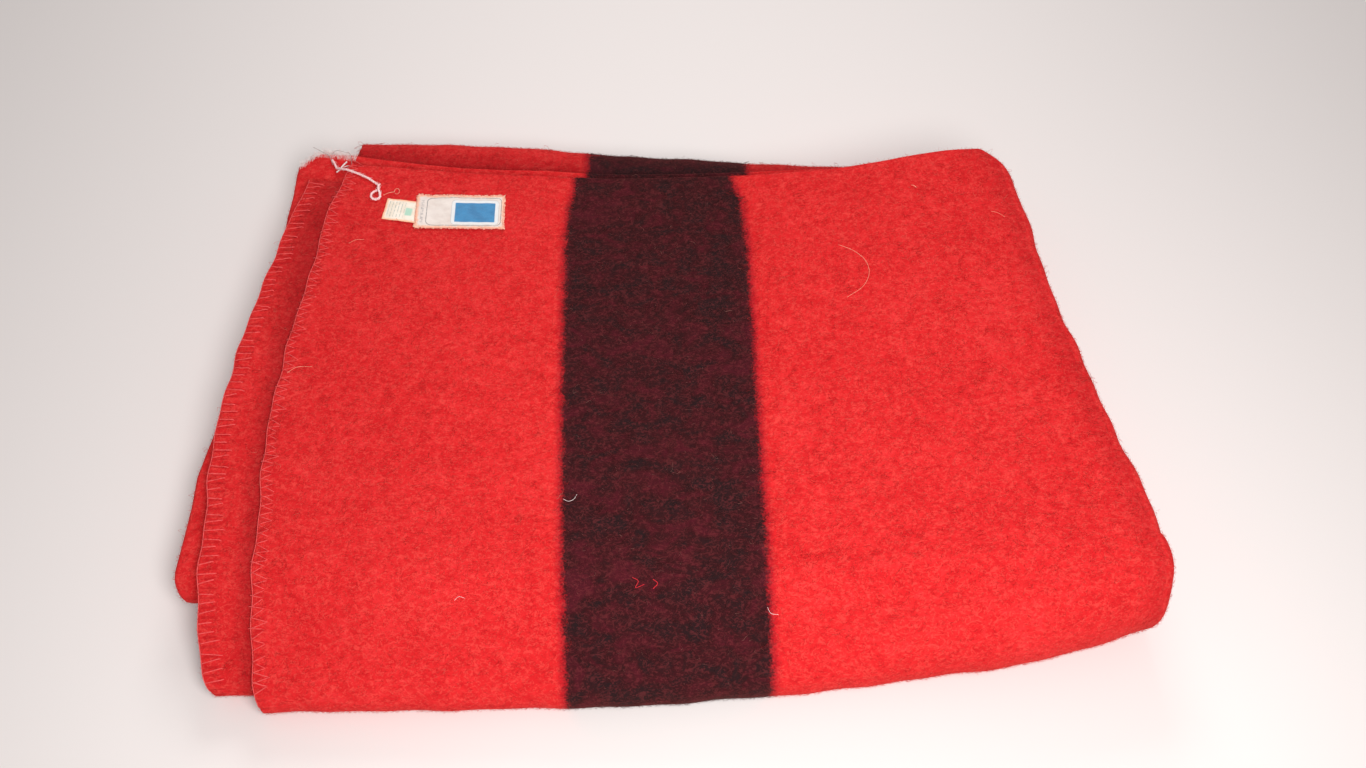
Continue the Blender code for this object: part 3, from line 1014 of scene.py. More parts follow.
@dataclass(frozen=True)
class LabelFinish:
    """A woven label: cream ground with peach cut edges, thin grey frame lines and a plain blue field."""

    name: str = "woven_cream_label"
    ground: str = "#f6ece3"
    shade: str = "#e8dad0"
    edge: str = "#ffc6a8"
    line: str = "#57555d"
    faint: str = "#b6b0ae"
    margin: str = "#f3f5f4"
    field: str = "#3a92c8"
    field_shade: str = "#3380b4"
    outer: Area = Area((0.0, 0.0), (36 * MM, 18 * MM))
    frame: Area = Area((3.0 * MM, 0.0), (30.5 * MM, 15.2 * MM), 4.5 * MM)
    blue: Area = Area((12.1 * MM, -0.8 * MM), (16.4 * MM, 10.4 * MM), 0.6 * MM)
    marks: Area = Area((-31.2 * MM, 0.0), (1.1 * MM, 12.5 * MM))
    margin_gap: float = 3.0 * MM
    line_width: float = 0.42 * MM
    thread: float = 0.5 * MM
    soil: Grain = Grain(9 * MM, 3.0, 0.6)
    wear: Grain = Grain(1.3 * MM, 1.0)
    mark_grain: Grain = Grain(1.5 * MM, 2.0, 0.7)
    fray: Grain = Grain(2.6 * MM)
    fray_depth: float = 3.4 * MM

    def drawn(self, distance: Field) -> Field:
        """Gives a thin line where a distance is nothing."""
        return abs(distance).ease(self.line_width, self.line_width * 0.3)

    def make(self) -> Material:
        """Builds the label's material, on the label's own UV map in metres.

        Returns:
            The material.
        """
        paint = Paint(self.name, Roughness=0.7, Sheen_Weight=0.1)
        u, v = place = patch_places(paint)
        weave = u.wave(self.thread) * v.wave(self.thread)
        soil = self.soil.on(paint.tree)
        field = self.blue.distance(place)
        broken = self.wear.on(paint.tree).ease(0.22, 0.42)
        line = self.drawn(self.frame.distance(place))
        inner = self.drawn(field - self.margin_gap)
        marks = self.marks.distance(place).ease(0.4 * MM, -0.4 * MM)
        marks = marks * self.mark_grain.on(paint.tree).ease(0.40, 0.60)
        rim = self.outer.distance(place) + (self.fray.on(paint.tree) - 0.5) * self.fray_depth
        blue = paint.coated(
            self.field,
            (soil.ease(0.3, 0.7), self.field_shade),
            (weave.ease(0.2, 1.0) * 0.12, self.margin),
        )
        colour = paint.coated(
            self.ground,
            (soil.ease(0.35, 0.75), self.shade),
            (weave.ease(0.2, 1.0) * 0.15, self.shade),
            (field.ease(self.margin_gap + 0.4 * MM, self.margin_gap - 0.4 * MM), self.margin),
            (line * broken * 0.8, self.line),
            (inner * broken * 0.5, self.faint),
            (marks * 0.8, self.faint),
            (field.ease(0.3 * MM, -0.3 * MM), blue),
            (rim.ease(-2.9 * MM, -1.0 * MM), self.edge),
        )
        return paint.finished(colour, weave + soil * 0.8, 0.10 * MM, 0.7)


@dataclass(frozen=True)
class TagFinish:
    """A thin printed tag: off-white with peach edges, faint grey rules and a faint green block."""

    name: str = "printed_care_tag"
    ground: str = "#f9efdf"
    shade: str = "#ecdfcb"
    edge: str = "#ffc39e"
    rule: str = "#93a5a0"
    green: str = "#8fd3bb"
    outer: Area = Area((0.0, 0.0), (16 * MM, 11.5 * MM))
    block: Area = Area((4.4 * MM, -1.2 * MM), (2.9 * MM, 4.2 * MM), 1.2 * MM)
    rules: Area = Area((-6.4 * MM, 0.2 * MM), (7.2 * MM, 8.4 * MM))
    rule_pitch: float = 2.7 * MM
    soil: Grain = Grain(7 * MM, 3.0, 0.6)
    wear: Grain = Grain(1.6 * MM, 2.0, 0.7)
    paper: Grain = Grain(0.6 * MM)
    fray: Grain = Grain(2.0 * MM)
    fray_depth: float = 1.6 * MM

    def make(self) -> Material:
        """Builds the tag's material, on the tag's own UV map in metres.

        Returns:
            The material.
        """
        paint = Paint(self.name, Roughness=0.6)
        u, _ = place = patch_places(paint)
        block = self.block.distance(place).ease(0.8 * MM, -1.0 * MM)
        rules = u.wave(self.rule_pitch).ease(0.45, 0.95)
        rules = rules * self.rules.distance(place).ease(0.4 * MM, -0.4 * MM)
        rules = rules * self.wear.on(paint.tree).ease(0.34, 0.56)
        rim = self.outer.distance(place) + (self.fray.on(paint.tree) - 0.5) * self.fray_depth
        colour = paint.coated(
            self.ground,
            (self.soil.on(paint.tree).ease(0.35, 0.7), self.shade),
            (block * 0.75, self.green),
            (rules * 0.7, self.rule),
            (rim.ease(-2.2 * MM, -0.6 * MM), self.edge),
        )
        return paint.finished(colour, self.paper.on(paint.tree), 0.05 * MM, 0.5)


@dataclass(frozen=True)
class FloorFinish:
    """Seamless white paper."""

    name: str = "white_paper"
    colour: str = "#e9e5e2"

    def make(self) -> Material:
        """Builds the floor's material."""
        look = {"Base_Color": linear(self.colour), "Specular_IOR_Level": 0.1}
        return Paint(self.name, Roughness=0.9, **look).material


def link(name: str, mesh: Mesh) -> Object:
    """Puts a mesh into the scene as an object at the origin.

    Args:
        name: the object's name.
        mesh: its mesh.

    Returns:
        The object.
    """
    obj = bpy.data.objects.new(name, mesh)
    bpy.context.scene.collection.objects.link(obj)
    return obj


def dress(obj: Object, material: Material) -> Object:
    """Gives a piece its material and slot, and lets it ride on the pile.

    Args:
        obj: the piece.
        material: its finish.

    Returns:
        The piece.
    """
    if not obj.data.materials:
        obj.data.materials.append(material)
    else:
        obj.data.materials[0] = material
    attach(obj, "root")
    return obj


def flattened(obj: Object, name: str) -> Object:
    """Turns an object with modifiers into a plain mesh object and removes the first one.

    Args:
        obj: the object with modifiers.
        name: the new object's name.

    Returns:
        The new object.
    """
    graph = bpy.context.evaluated_depsgraph_get()
    mesh = bpy.data.meshes.new_from_object(
        obj.evaluated_get(graph), preserve_all_data_layers=True, depsgraph=graph
    )
    mesh.name = name
    old = obj.data
    bpy.data.objects.remove(obj, do_unlink=True)
    if old.users == 0:
        bpy.data.meshes.remove(old)
    made = link(name, mesh)
    made.data.shade_smooth()
    return made


def grid_mesh(name: str, points: Array) -> Mesh:
    """Makes a mesh of quads over rows and columns of points.

    Args:
        name: the mesh's name.
        points: an array of rows, columns and x, y, z.

    Returns:
        The mesh, whose vertices are in row order.
    """
    rows, columns, _ = points.shape
    index = np.arange(rows * columns).reshape(rows, columns)
    quads = np.stack(
        [index[:-1, :-1], index[1:, :-1], index[1:, 1:], index[:-1, 1:]], axis=-1
    ).reshape(-1, 4)
    mesh = bpy.data.meshes.new(name)
    mesh.from_pydata(points.reshape(-1, 3).tolist(), [], quads.tolist())
    mesh.shade_smooth()
    return mesh


def thickened(obj: Object, thickness: float, group: str = "") -> Object:
    """Gives a surface its thickness, half to each side.

    Args:
        obj: the surface.
        thickness: the full thickness.
        group: the vertex group that holds each point's share of it, if any.

    Returns:
        The object.
    """
    solidify = obj.modifiers.new("thickness", "SOLIDIFY")
    solidify.thickness = thickness
    solidify.offset = 0.0
    solidify.vertex_group = group
    return obj


def points_of(mesh: Mesh) -> Array:
    """Reads a mesh's points as rows of x, y and z."""
    places = np.empty(len(mesh.vertices) * 3, np.float32)
    mesh.vertices.foreach_get("co", places)
    return places.reshape(-1, 3)


def store(mesh: Mesh, name: str, values: Array) -> None:
    """Stores one number per point on a mesh."""
    attribute = mesh.attributes.new(name, "FLOAT", "POINT")
    attribute.data.foreach_set("value", np.ascontiguousarray(values, np.float32).ravel())


def store_uv(mesh: Mesh, name: str, values: Array) -> None:
    """Stores a UV map.

    Args:
        mesh: the mesh.
        name: the map's name.
        values: one pair of numbers per point.
    """
    layer = mesh.uv_layers.new(name=name)
    corners = np.empty(len(mesh.loops), np.int32)
    mesh.loops.foreach_get("vertex_index", corners)
    layer.data.foreach_set("uv", np.ascontiguousarray(values[corners], np.float32).ravel())


class Ground:
    """The finished cloth as something that other pieces lie on."""

    ABOVE = 0.5
    DOWN = Vector((0.0, 0.0, -1.0))
    # Directions in which the space over a point is felt, as slopes to two sides.
    TILTS = ((0.0, 0.0), (0.9, 0.0), (-0.9, 0.0), (0.0, 0.9), (0.0, -0.9))
    CLEAR = 0.5 * MM
    UNDERSIDE = 2 * MM

    def __init__(self, obj: Object) -> None:
        """Reads the cloth's faces."""
        mesh = obj.data
        mesh.calc_loop_triangles()
        triangles = [tuple(t.vertices) for t in mesh.loop_triangles]
        self.tree = BVHTree.FromPolygons([v.co for v in mesh.vertices], triangles, all_triangles=True)

    def below(self, x: float, y: float) -> Optional[tuple[Vector, Vector]]:
        """Finds the topmost place and its normal under a point of the plan, or None."""
        place, normal, _, _ = self.tree.ray_cast(Vector((x, y, self.ABOVE)), self.DOWN)
        return None if place is None else (place, normal if normal.z > 0 else -normal)

    def height(self, x: float, y: float, fallback: float = 0.0) -> float:
        """Gives the topmost height at a place of the plan."""
        found = self.below(x, y)
        return found[0].z if found else fallback

    def openness(self, mesh: Mesh, reach: float) -> Array:
        """Measures how open the space over each point of the mesh is.

        Args:
            mesh: the finished cloth.
            reach: how far to look.

        Returns:
            For each point, the share of the directions that are free.
        """
        share = np.zeros(len(mesh.vertices), np.float32)
        for i, vertex in enumerate(mesh.vertices):
            normal = vertex.normal
            if normal.z < -0.5 and vertex.co.z < self.UNDERSIDE:
                continue
            side = normal.orthogonal().normalized()
            other = normal.cross(side)
            start = vertex.co + normal * self.CLEAR
            free = 0
            for a, b in self.TILTS:
                way = (normal + side * a + other * b).normalized()
                if self.tree.ray_cast(start, way, reach)[0] is not None:
                    continue
                to_floor = way.z < 0 and start.z + way.z * reach < 0
                free += 0.5 if to_floor else 1.0
            share[i] = free / len(self.TILTS)
        return share


class Cloth:
    """The blanket's cloth: one sheet, folded in quarters both ways."""

    # The painted shade: how far it reaches beside the top end and over the right flank, and how dark it is on
    # the flank and in the valley.
    shade_inset = 18 * MM
    flank_inset = 34 * MM
    flank_shade = 0.55
    valley_shade = 1.2
    rim_radius = 1.3 * MM
    # The columns over which the distance along the ends is averaged.
    end_columns = 40
    # A row on the top quarter, whose face looks up.
    check_row = 40

    def __init__(self, plan: FoldPlan, settling: Settling) -> None:
        """Places every point of the sheet's middle surface.

        Args:
            plan: where the cloth lies in its folds.
            settling: the warp that it takes in the pile.
        """
        self.plan = plan
        self.settling = settling
        self.rows = plan.rows()
        self.columns = plan.columns()
        layers = np.array([c.layer for c in self.columns])
        shape = (len(self.rows), len(self.columns))
        self.points = np.zeros((*shape, 3))
        for i, row in enumerate(self.rows):
            near_x = np.array([float(c.place(row.station, plan.pitch_left)) for c in self.columns])
            y, _ = row.place(near_x, layers)
            pitch = plan.pitch(near_x, y)
            x = np.array([float(c.place(row.station, p)) for c, p in zip(self.columns, pitch)])
            y, z = row.place(x, layers)
            self.points[i] = np.stack([x, y, z], axis=1)
        self.band = self._band_places()
        self.points = settling.apply(self.points - PILE_CENTRE)

    def _band_places(self) -> Array:
        """Gives each point's place across the dark band.

        Returns:
            The distance from the band's middle for each row and column.
        """
        borders = np.array(BAND_BORDERS, float) * MM
        x, y = self.points[..., 0], self.points[..., 1]
        stations = np.array([r.station for r in self.rows])[:, None]
        under = smooth((stations - 4.0) / 1.5) * np.ones_like(x)
        left, right = (
            np.interp(y, borders[:, 0], borders[:, side + 1]) * (1 - under) + place * under
            for side, place in enumerate(BAND_AT_FAR_FOLD)
        )
        across = (x - (left + right) / 2) / ((right - left) / 2) * BAND_HALF_WIDTH
        shifts = np.array([c.band_shift for c in self.columns])
        return across + shifts[None, :]

    def _edge_places(self) -> dict:
        """Gives each point's distance from both ends, its place along them and its painted shade.

        The stored shade value is painted shade: it darkens the colour where shade falls, on the second layer
        beside the top end, in the valley behind the selvedges, and more faintly on the top quarter's face
        towards the right-hand folds.

        Returns:
            The values for each row and column, by the name they are stored under.
        """
        stations = np.array([r.station for r in self.rows])
        x = self.points[..., 0] + PILE_CENTRE[0]
        y = self.points[..., 1] + PILE_CENTRE[1]
        steps = np.linalg.norm(np.diff(self.points, axis=0), axis=2)
        along_end = running(steps[:, : self.end_columns].mean(axis=1))[:, None] * np.ones_like(x)
        inset = self.shade_inset
        top_end, second_end, right_fold = (
            np.array([self.plan.edge(name, s) for s in stations])[:, None]
            for name in ("top_end", "second_end", "right_fold")
        )
        layers = np.array([c.layer for c in self.columns])[None, :]
        on_second, on_top = layers == 2.0, layers == 3.0
        # The painted shade beside the top end widens towards the far side.
        wide = inset * (1.0 + 1.6 * smooth((y - 560 * MM) / (180 * MM)))
        beside = on_second * smooth(1.0 - (top_end - x) / wide) * (x > second_end + 4 * MM)
        # Painted shade in the valley behind the selvedges, on the far fold's rows.
        beyond = y - np.maximum(self.plan.top_selvedge_y(x), self.plan.second_selvedge_y(x))
        on_fold = ((stations > 6.1) & (stations < 7.0))[:, None]
        valley = self.valley_shade * on_fold * smooth(1.0 - (beyond - 4 * MM) / (1.8 * inset))
        # Painted shade, fainter, on the top quarter's face towards the right-hand folds.
        flank = self.flank_shade * on_top * smooth(1.0 - (right_fold - x) / self.flank_inset)
        return {
            "from_top_end": np.where(on_top, x - top_end, 1.0),
            "from_second_end": np.where(on_second, x - second_end, 1.0),
            "along_end": along_end,
            # The painted shade is the darkest of the three shaded places.
            "recess": np.maximum(np.maximum(beside, valley), flank),
        }

    def _rim_weights(self) -> Array:
        """Gives the share of the full thickness at each point, which rounds the cut edges.

        Returns:
            The share for each row and column.
        """

        def rounded(inset: Array) -> Array:
            """Rounds one edge."""
            past = 1.0 - np.clip(inset / self.rim_radius, 0.0, 1.0)
            return np.sqrt(np.clip(1.0 - past**2, 0.02, 1.0))

        along = rounded(np.array([c.rim for c in self.columns]))
        across = rounded(np.array([r.rim for r in self.rows]))
        return across[:, None] * along[None, :]

    def build(self) -> Object:
        """Makes the cloth with its thickness.

        Returns:
            The cloth as one closed mesh.
        """
        mesh = grid_mesh("blanket_cloth", self.points)
        store(mesh, "band_x", self.band)
        for name, values in self._edge_places().items():
            store(mesh, name, values)
        u, v = (
            running(np.linalg.norm(np.diff(self.points, axis=axis), axis=2).mean(axis=1 - axis))
            for axis in (1, 0)
        )
        LOG.info("cloth is %.3f m long and %.3f m wide", u[-1], v[-1])
        both = np.stack(np.meshgrid(u, v), axis=-1).reshape(-1, 2) / max(u[-1], v[-1])
        store_uv(mesh, "cloth", both)
        obj = link("blanket_cloth", mesh)
        group = obj.vertex_groups.new(name="thickness")
        for i, weight in enumerate(self._rim_weights().ravel()):
            group.add([i], float(weight), "REPLACE")
        made = flattened(thickened(obj, self.plan.thickness, group.name), "blanket_cloth")
        made.vertex_groups.clear()
        return made

    def edge_line(self, column: int, inward: int) -> tuple:
        """Follows a cut end of the cloth on the face that shows.

        Args:
            column: which column of points the end is.
            inward: a column further in, to give the direction.

        Returns:
            Points, inward directions and face normals, one per row.
        """
        line = self.points[:, column]
        into = unit(self.points[:, inward] - line)
        normal = unit(np.cross(into, np.gradient(line, axis=0)))
        normal *= math.copysign(1.0, normal[self.check_row][2])
        return line + normal * self.plan.thickness / 2, into, normal


class FibreShape(Enum):
    """The shapes of fibre that are scattered over the cloth."""

    SHORT = "short"
    CURL = "curl"
    HOOK = "hook"


@dataclass(frozen=True)
class FibreTemplate:
    """One fibre of unit length and thickness, lying along X and bending up and aside."""

    shape: FibreShape
    # A fibre's thickness as a share of its length, where it curls aside.
    slender: float = 0.02

    def spine(self) -> Array:
        """Gives the fibre's centre line.

        Returns:
            Its points; x is in fibre lengths, y and z are in fibre thicknesses.
        """
        if self.shape is FibreShape.SHORT:
            return np.array([[0.0, 0.0, -0.5], [0.5, 1.6, 2.6], [1.0, 0.0, 4.0]])
        turn = 1.7 * math.pi if self.shape is FibreShape.CURL else 1.1 * math.pi
        share = np.linspace(0.0, 1.0, 6)
        angle = turn * share
        x = np.sin(angle) / turn * 2.0 + 0.25 * share
        y = (1.0 - np.cos(angle)) / turn * 2.0
        if self.shape is FibreShape.HOOK:
            x = share * 0.9 + 0.1 * np.sin(angle)
            y = 0.35 * share**2 * np.sin(angle)
        z = np.sin(share * math.pi) * 4.0 + 0.6
        return np.stack([x, y / self.slender, z], axis=1)

    def build(self) -> Object:
        """Makes the template, a thin tube of three sides with pointed ends.

        Returns:
            The template object.
        """
        spine = self.spine()
        shell = bmesh.new()
        start = shell.verts.new(spine[0])
        end = shell.verts.new(spine[-1])
        rings = []
        angles = [2 * math.pi * k / 3 for k in range(3)]
        for x, y, z in spine[1:-1]:
            ring = [(x, y + 0.5 * math.cos(angle), z + 0.5 * math.sin(angle)) for angle in angles]
            rings.append([shell.verts.new(place) for place in ring])
        for k in range(3):
            after = (k + 1) % 3
            shell.faces.new((start, rings[0][after], rings[0][k]))
            shell.faces.new((end, rings[-1][k], rings[-1][after]))
            for first, second in zip(rings, rings[1:]):
                shell.faces.new((first[k], first[after], second[after], second[k]))
        bmesh.ops.recalc_face_normals(shell, faces=shell.faces)
        mesh = bpy.data.meshes.new(f"fibre_{self.shape.value}")
        shell.to_mesh(mesh)
        shell.free()
        mesh.shade_smooth()
        return link(mesh.name, mesh)


class GrowthTree:
    """A Geometry Nodes tree that puts a shape on points and makes the copies one mesh."""

    def __init__(self, name: str, sizes: dict) -> None:
        """Starts the tree.

        Args:
            name: the tree's name.
            sizes: its named inputs, each with its kind of socket.
        """
        self.tree = bpy.data.node_groups.new(name, "GeometryNodeTree")
        sockets = self.tree.interface
        sockets.new_socket("Geometry", in_out="OUTPUT", socket_type="NodeSocketGeometry")
        for key, kind in {"Geometry": "Geometry", **sizes}.items():
            sockets.new_socket(key, in_out="INPUT", socket_type=f"NodeSocket{kind}")
        outputs = self.tree.nodes.new("NodeGroupInput").outputs
        self.given = {key: Field(outputs[key]) for key in ("Geometry", *sizes)}

    def node(self, kind: str, inputs: dict, out: object = 0, **settings: object) -> Field:
        """Adds one node to the tree."""
        return add(self.tree, kind, inputs, out, **settings)

    def turned(self, rotation: Field, angles: Field) -> Field:
        """Turns a rotation by angles about its own axes."""
        values = {"Rotation": rotation, "Rotate By": self.node("FunctionNodeEulerToRotation", {0: angles})}
        return self.node("FunctionNodeRotateRotation", values, rotation_space="LOCAL")

    def close(self, points: Field, shape: str, rotation: Field, scale: Field) -> None:
        """Puts the shape on the points, makes the copies real and gives them their finish.

        Args:
            points: where the shape goes.
            shape: the input that names it.
            rotation: how each copy is turned.
            scale: how large each copy is.
        """
        copied = self.node("GeometryNodeObjectInfo", {"Object": self.given[shape]}, "Geometry")
        values = {"Points": points, "Instance": copied, "Rotation": rotation, "Scale": scale}
        grown = self.node("GeometryNodeInstanceOnPoints", values)
        real = self.node("GeometryNodeRealizeInstances", {"Geometry": grown})
        values = {"Geometry": real, "Material": self.given["Finish"]}
        ended = self.node("GeometryNodeSetMaterial", values)
        self.tree.links.new(ended.socket, self.tree.nodes.new("NodeGroupOutput").inputs[0])

    def grow(self, mesh: Mesh, name: str, sizes: dict) -> Object:
        """Runs the tree on a mesh.

        Args:
            mesh: the surface or line that things grow on, which is used up.
            name: the new piece's name.
            sizes: values for the tree's named inputs.

        Returns:
            What has grown, as one plain mesh.
        """
        holder = link(f"{name}_ground", mesh)
        modifier = holder.modifiers.new("growth", "NODES")
        modifier.node_group = self.tree
        for item in self.tree.interface.items_tree:
            if item.in_out == "INPUT" and item.name in sizes:
                modifier[item.identifier] = sizes[item.name]
        return flattened(holder, name)


class NapTree(GrowthTree):
    """The tree that grows fibres on a surface, combed along X and each with its own tone."""

    def __init__(self) -> None:
        """Builds the tree."""
        lengths = dict.fromkeys(("Density", "Length", "Thickness", "Spread", "Lift"), "Float")
        sizes = {**lengths, "Seed": "Int", "Fibre": "Object", "Finish": "Material"}
        super().__init__("nap_on_surface", sizes)
        given = self.given
        named = {"Name": "nap_share"}
        share = self.node("GeometryNodeInputNamedAttribute", named, "Attribute", data_type="FLOAT")
        values = {"Mesh": given["Geometry"], "Density": share * given["Density"], "Seed": given["Seed"]}
        scattered = self.node("GeometryNodeDistributePointsOnFaces", values, "Points")
        normal = Field(scattered.socket.node.outputs["Normal"])
        values = {"Geometry": scattered, "Name": "tone", "Value": self.random(11, 0.0, 1.0)}
        stored = {"data_type": "FLOAT", "domain": "POINT"}
        points = self.node("GeometryNodeStoreNamedAttribute", values, **stored)
        upright = self.node("FunctionNodeAlignRotationToVector", {"Vector": normal}, axis="Z")
        values = {"Rotation": upright, "Vector": (1.0, 0.1, 0.0)}
        combed = self.node("FunctionNodeAlignRotationToVector", values, axis="X", pivot_axis="Z")
        flip = self.random(5, 0.0, 2.0).worked("FLOOR") * math.pi
        swing = self.random(7, -1.0, 1.0).worked("MULTIPLY_ADD", given["Spread"], flip)
        lift = self.random(9, -1.0, 0.15) * given["Lift"]
        aside = self.turned(combed, self.joined(0.0, 0.0, swing))
        tilted = self.turned(aside, self.joined(0.0, lift, 0.0))
        length = self.random(13, 0.45, 1.25) * given["Length"]
        width = self.random(17, 0.6, 1.3) * given["Thickness"]
        self.close(points, "Fibre", tilted, self.joined(length, width, width))

    def joined(self, *parts: object) -> Field:
        """Joins three values into a vector."""
        return self.node("ShaderNodeCombineXYZ", dict(enumerate(parts)))

    def random(self, offset: int, low: float, high: float) -> Field:
        """Draws a number for each fibre."""
        values = {2: low, 3: high, "Seed": self.given["Seed"] + float(offset)}
        return self.node("FunctionNodeRandomValue", values, 1, data_type="FLOAT")


@dataclass(frozen=True)
class NapPatch:
    """One share of the nap: its fibres and how densely they stand."""

    name: str
    shape: FibreShape
    density: float
    length: float
    thickness: float
    spread: float
    lift: float
    seed: int


class Nap:
    """The brushed nap over all the cloth's open faces."""

    PATCHES = (
        NapPatch("nap_first", FibreShape.SHORT, 74000, 3.6 * MM, 0.18 * MM, 1.2, 0.26, 101),
        NapPatch("nap_second", FibreShape.SHORT, 74000, 4.6 * MM, 0.16 * MM, 1.5, 0.20, 202),
        NapPatch("nap_third", FibreShape.SHORT, 74000, 3.0 * MM, 0.19 * MM, 1.0, 0.42, 303),
        NapPatch("long_hairs", FibreShape.HOOK, 4500, 9.0 * MM, 0.20 * MM, 1.5, 0.12, 404),
        NapPatch("curled_hairs", FibreShape.CURL, 14000, 5.5 * MM, 0.24 * MM, 1.5, 0.10, 505),
    )
    QUICK_SHARE = 0.2
    LOWEST = 0.2 * MM
    CURL_TONE = 0.45

    def __init__(self, cloth: Object, open_share: Array) -> None:
        """Keeps the surface that the nap grows on.

        Args:
            cloth: the finished cloth.
            open_share: how open the space over each of its points is.
        """
        self.mesh = cloth.data
        share = smooth((open_share - 0.35) / 0.45)
        for patch in (SewnPatches.label, SewnPatches.tag):
            share[patch.covers(self.mesh)] = 0.0
        rise = np.array([v.normal.z for v in self.mesh.vertices])
        self.flat_share = share * smooth((rise - 0.8) / 0.15)
        store(self.mesh, "nap_share", share)
        self.finish = WoolFinish().make_nap()

    def build(self) -> list[Object]:
        """Grows every share of the nap.

        Returns:
            One piece for each share.
        """
        tree = NapTree()
        made = []
        templates = {shape: FibreTemplate(shape).build() for shape in FibreShape}
        for patch in self.PATCHES:
            sizes = {key: getattr(patch, key.lower()) for key in ("Length", "Thickness", "Spread", "Lift")}
            sizes["Density"] = patch.density * 1.0
            sizes |= {"Seed": patch.seed, "Fibre": templates[patch.shape], "Finish": self.finish}
            if patch.shape is not FibreShape.SHORT:
                values = np.ascontiguousarray(self.flat_share, np.float32)
                self.mesh.attributes["nap_share"].data.foreach_set("value", values)
            piece = tree.grow(self.mesh.copy(), patch.name, sizes)
            self.settle(piece.data, patch)
            made.append(dress(piece, self.finish))
        for template in templates.values():
            bpy.data.objects.remove(template, do_unlink=True)
        return made

    def settle(self, mesh: Mesh, patch: NapPatch) -> None:
        """Keeps the fibres over the floor, and the curled ones light.

        Args:
            mesh: the grown fibres.
            patch: their share of the nap.
        """
        places = points_of(mesh)
        places[:, 2] = np.maximum(places[:, 2], self.LOWEST)
        mesh.vertices.foreach_set("co", places.ravel())
        if patch.shape is not FibreShape.SHORT:
            tones = np.empty(len(mesh.vertices), np.float32)
            kept = mesh.attributes["tone"].data
            kept.foreach_get("value", tones)
            kept.foreach_set("value", self.CURL_TONE + (1.0 - self.CURL_TONE) * tones)


def tube(spine: Array, radius: float, sides: int = 6) -> tuple[list, list]:
    """Makes a round tube with pointed ends along a line.

    Args:
        spine: the line's points.
        radius: the tube's radius.
        sides: how many sides it has.

    Returns:
        Vertices and faces.
    """
    ahead = unit(np.gradient(spine, axis=0))
    side = np.cross(ahead[0], (0.0, 0.0, 1.0))
    if np.linalg.norm(side) < 1e-6:
        side = np.array([1.0, 0.0, 0.0])
    vertices, faces = [], []
    count = len(spine)
    for i in range(count):
        side = unit(side - ahead[i] * np.dot(side, ahead[i]))
        other = np.cross(ahead[i], side)
        for k in range(sides):
            angle = 2 * math.pi * k / sides
            vertices.append(spine[i] + radius * (side * math.cos(angle) + other * math.sin(angle)))
    for i in range(count - 1):
        for k in range(sides):
            a, b = i * sides + k, i * sides + (k + 1) % sides
            faces.append((a, b, b + sides, a + sides))
    first, last = len(vertices), len(vertices) + 1
    tip = 0.6 * radius
    vertices += [spine[0] - ahead[0] * tip, spine[-1] + ahead[-1] * tip]
    for k in range(sides):
        after = (k + 1) % sides
        faces.append((first, after, k))
        faces.append((last, (count - 1) * sides + k, (count - 1) * sides + after))
    return vertices, faces


def tubes_object(name: str, tubes: Sequence[tuple[list, list]]) -> Object:
    """Joins several tubes into one object.

    Args:
        name: the object's name.
        tubes: vertices and faces of each tube.

    Returns:
        The object.
    """
    vertices: list = []
    faces: list = []
    for points, sides in tubes:
        base = len(vertices)
        vertices += [tuple(map(float, p)) for p in points]
        faces += [tuple(base + i for i in face) for face in sides]
    mesh = bpy.data.meshes.new(name)
    mesh.from_pydata(vertices, [], faces)
    mesh.shade_smooth()
    return link(name, mesh)


def along_curve(points: Array, count: int) -> Array:
    """Reads a smooth curve through points at even distances.

    Args:
        points: the points that the curve passes.
        count: how many points are wanted.

    Returns:
        Evenly spaced points.
    """
    places = run_of(points)
    at = np.linspace(0.0, places[-1], count)
    return np.stack([curve_through(places, points[:, k], at) for k in range(3)], axis=1)


class StitchKind(Enum):
    """How one stitch of the overlocked ends looks from its face."""

    ZIGZAG = "zigzag"
    BAR = "bar"


@dataclass(frozen=True)
class Stitch:
    """One stitch over the cloth's end, lying along X inwards from the end, Z up."""

    kind: StitchKind
    reach: float
    pitch: float
    radius: float
    thickness: float = 3.0 * MM
    out: float = -0.3 * MM
    lift: float = 0.02 * MM
    points: int = 8
    sides: int = 5

    def lines(self) -> list:
        """Gives the stitch's runs of thread, which wrap the rim and bite into the nap.

        Returns:
            The points of each run.
        """
        reach, pitch, lift = self.reach, self.pitch, self.lift
        if self.kind is StitchKind.BAR:
            start = (self.out, 0.0, -0.7 * self.thickness)
            over = [(-0.25 * MM, 0.0, -0.6 * MM), (1.0 * MM, 0.0, lift)]
            along = [(0.5 * reach, 0.04 * pitch, lift), (reach - 0.6 * MM, 0.05 * pitch, lift)]
            return [[start, *over, *along, (reach, 0.05 * pitch, -0.6 * MM)]]
        start = (self.out, 0.0, -0.6 * self.thickness)
        over = [(-0.2 * MM, 0.0, -0.5 * MM), (1.2 * MM, 0.05 * pitch, lift)]
        bite = [(0.6 * reach, 0.3 * pitch, lift), (reach, 0.5 * pitch, -0.4 * MM)]
        run = [start, *over, *bite]
        return [run, [(x, pitch - y, z) for x, y, z in reversed(run)]]

    def build(self) -> Object:
        """Makes the stitch."""
        runs = [along_curve(np.array(line), self.points) for line in self.lines()]
        parts = [tube(run, self.radius, self.sides) for run in runs]
        return tubes_object(f"stitch_{self.kind.value}", parts)


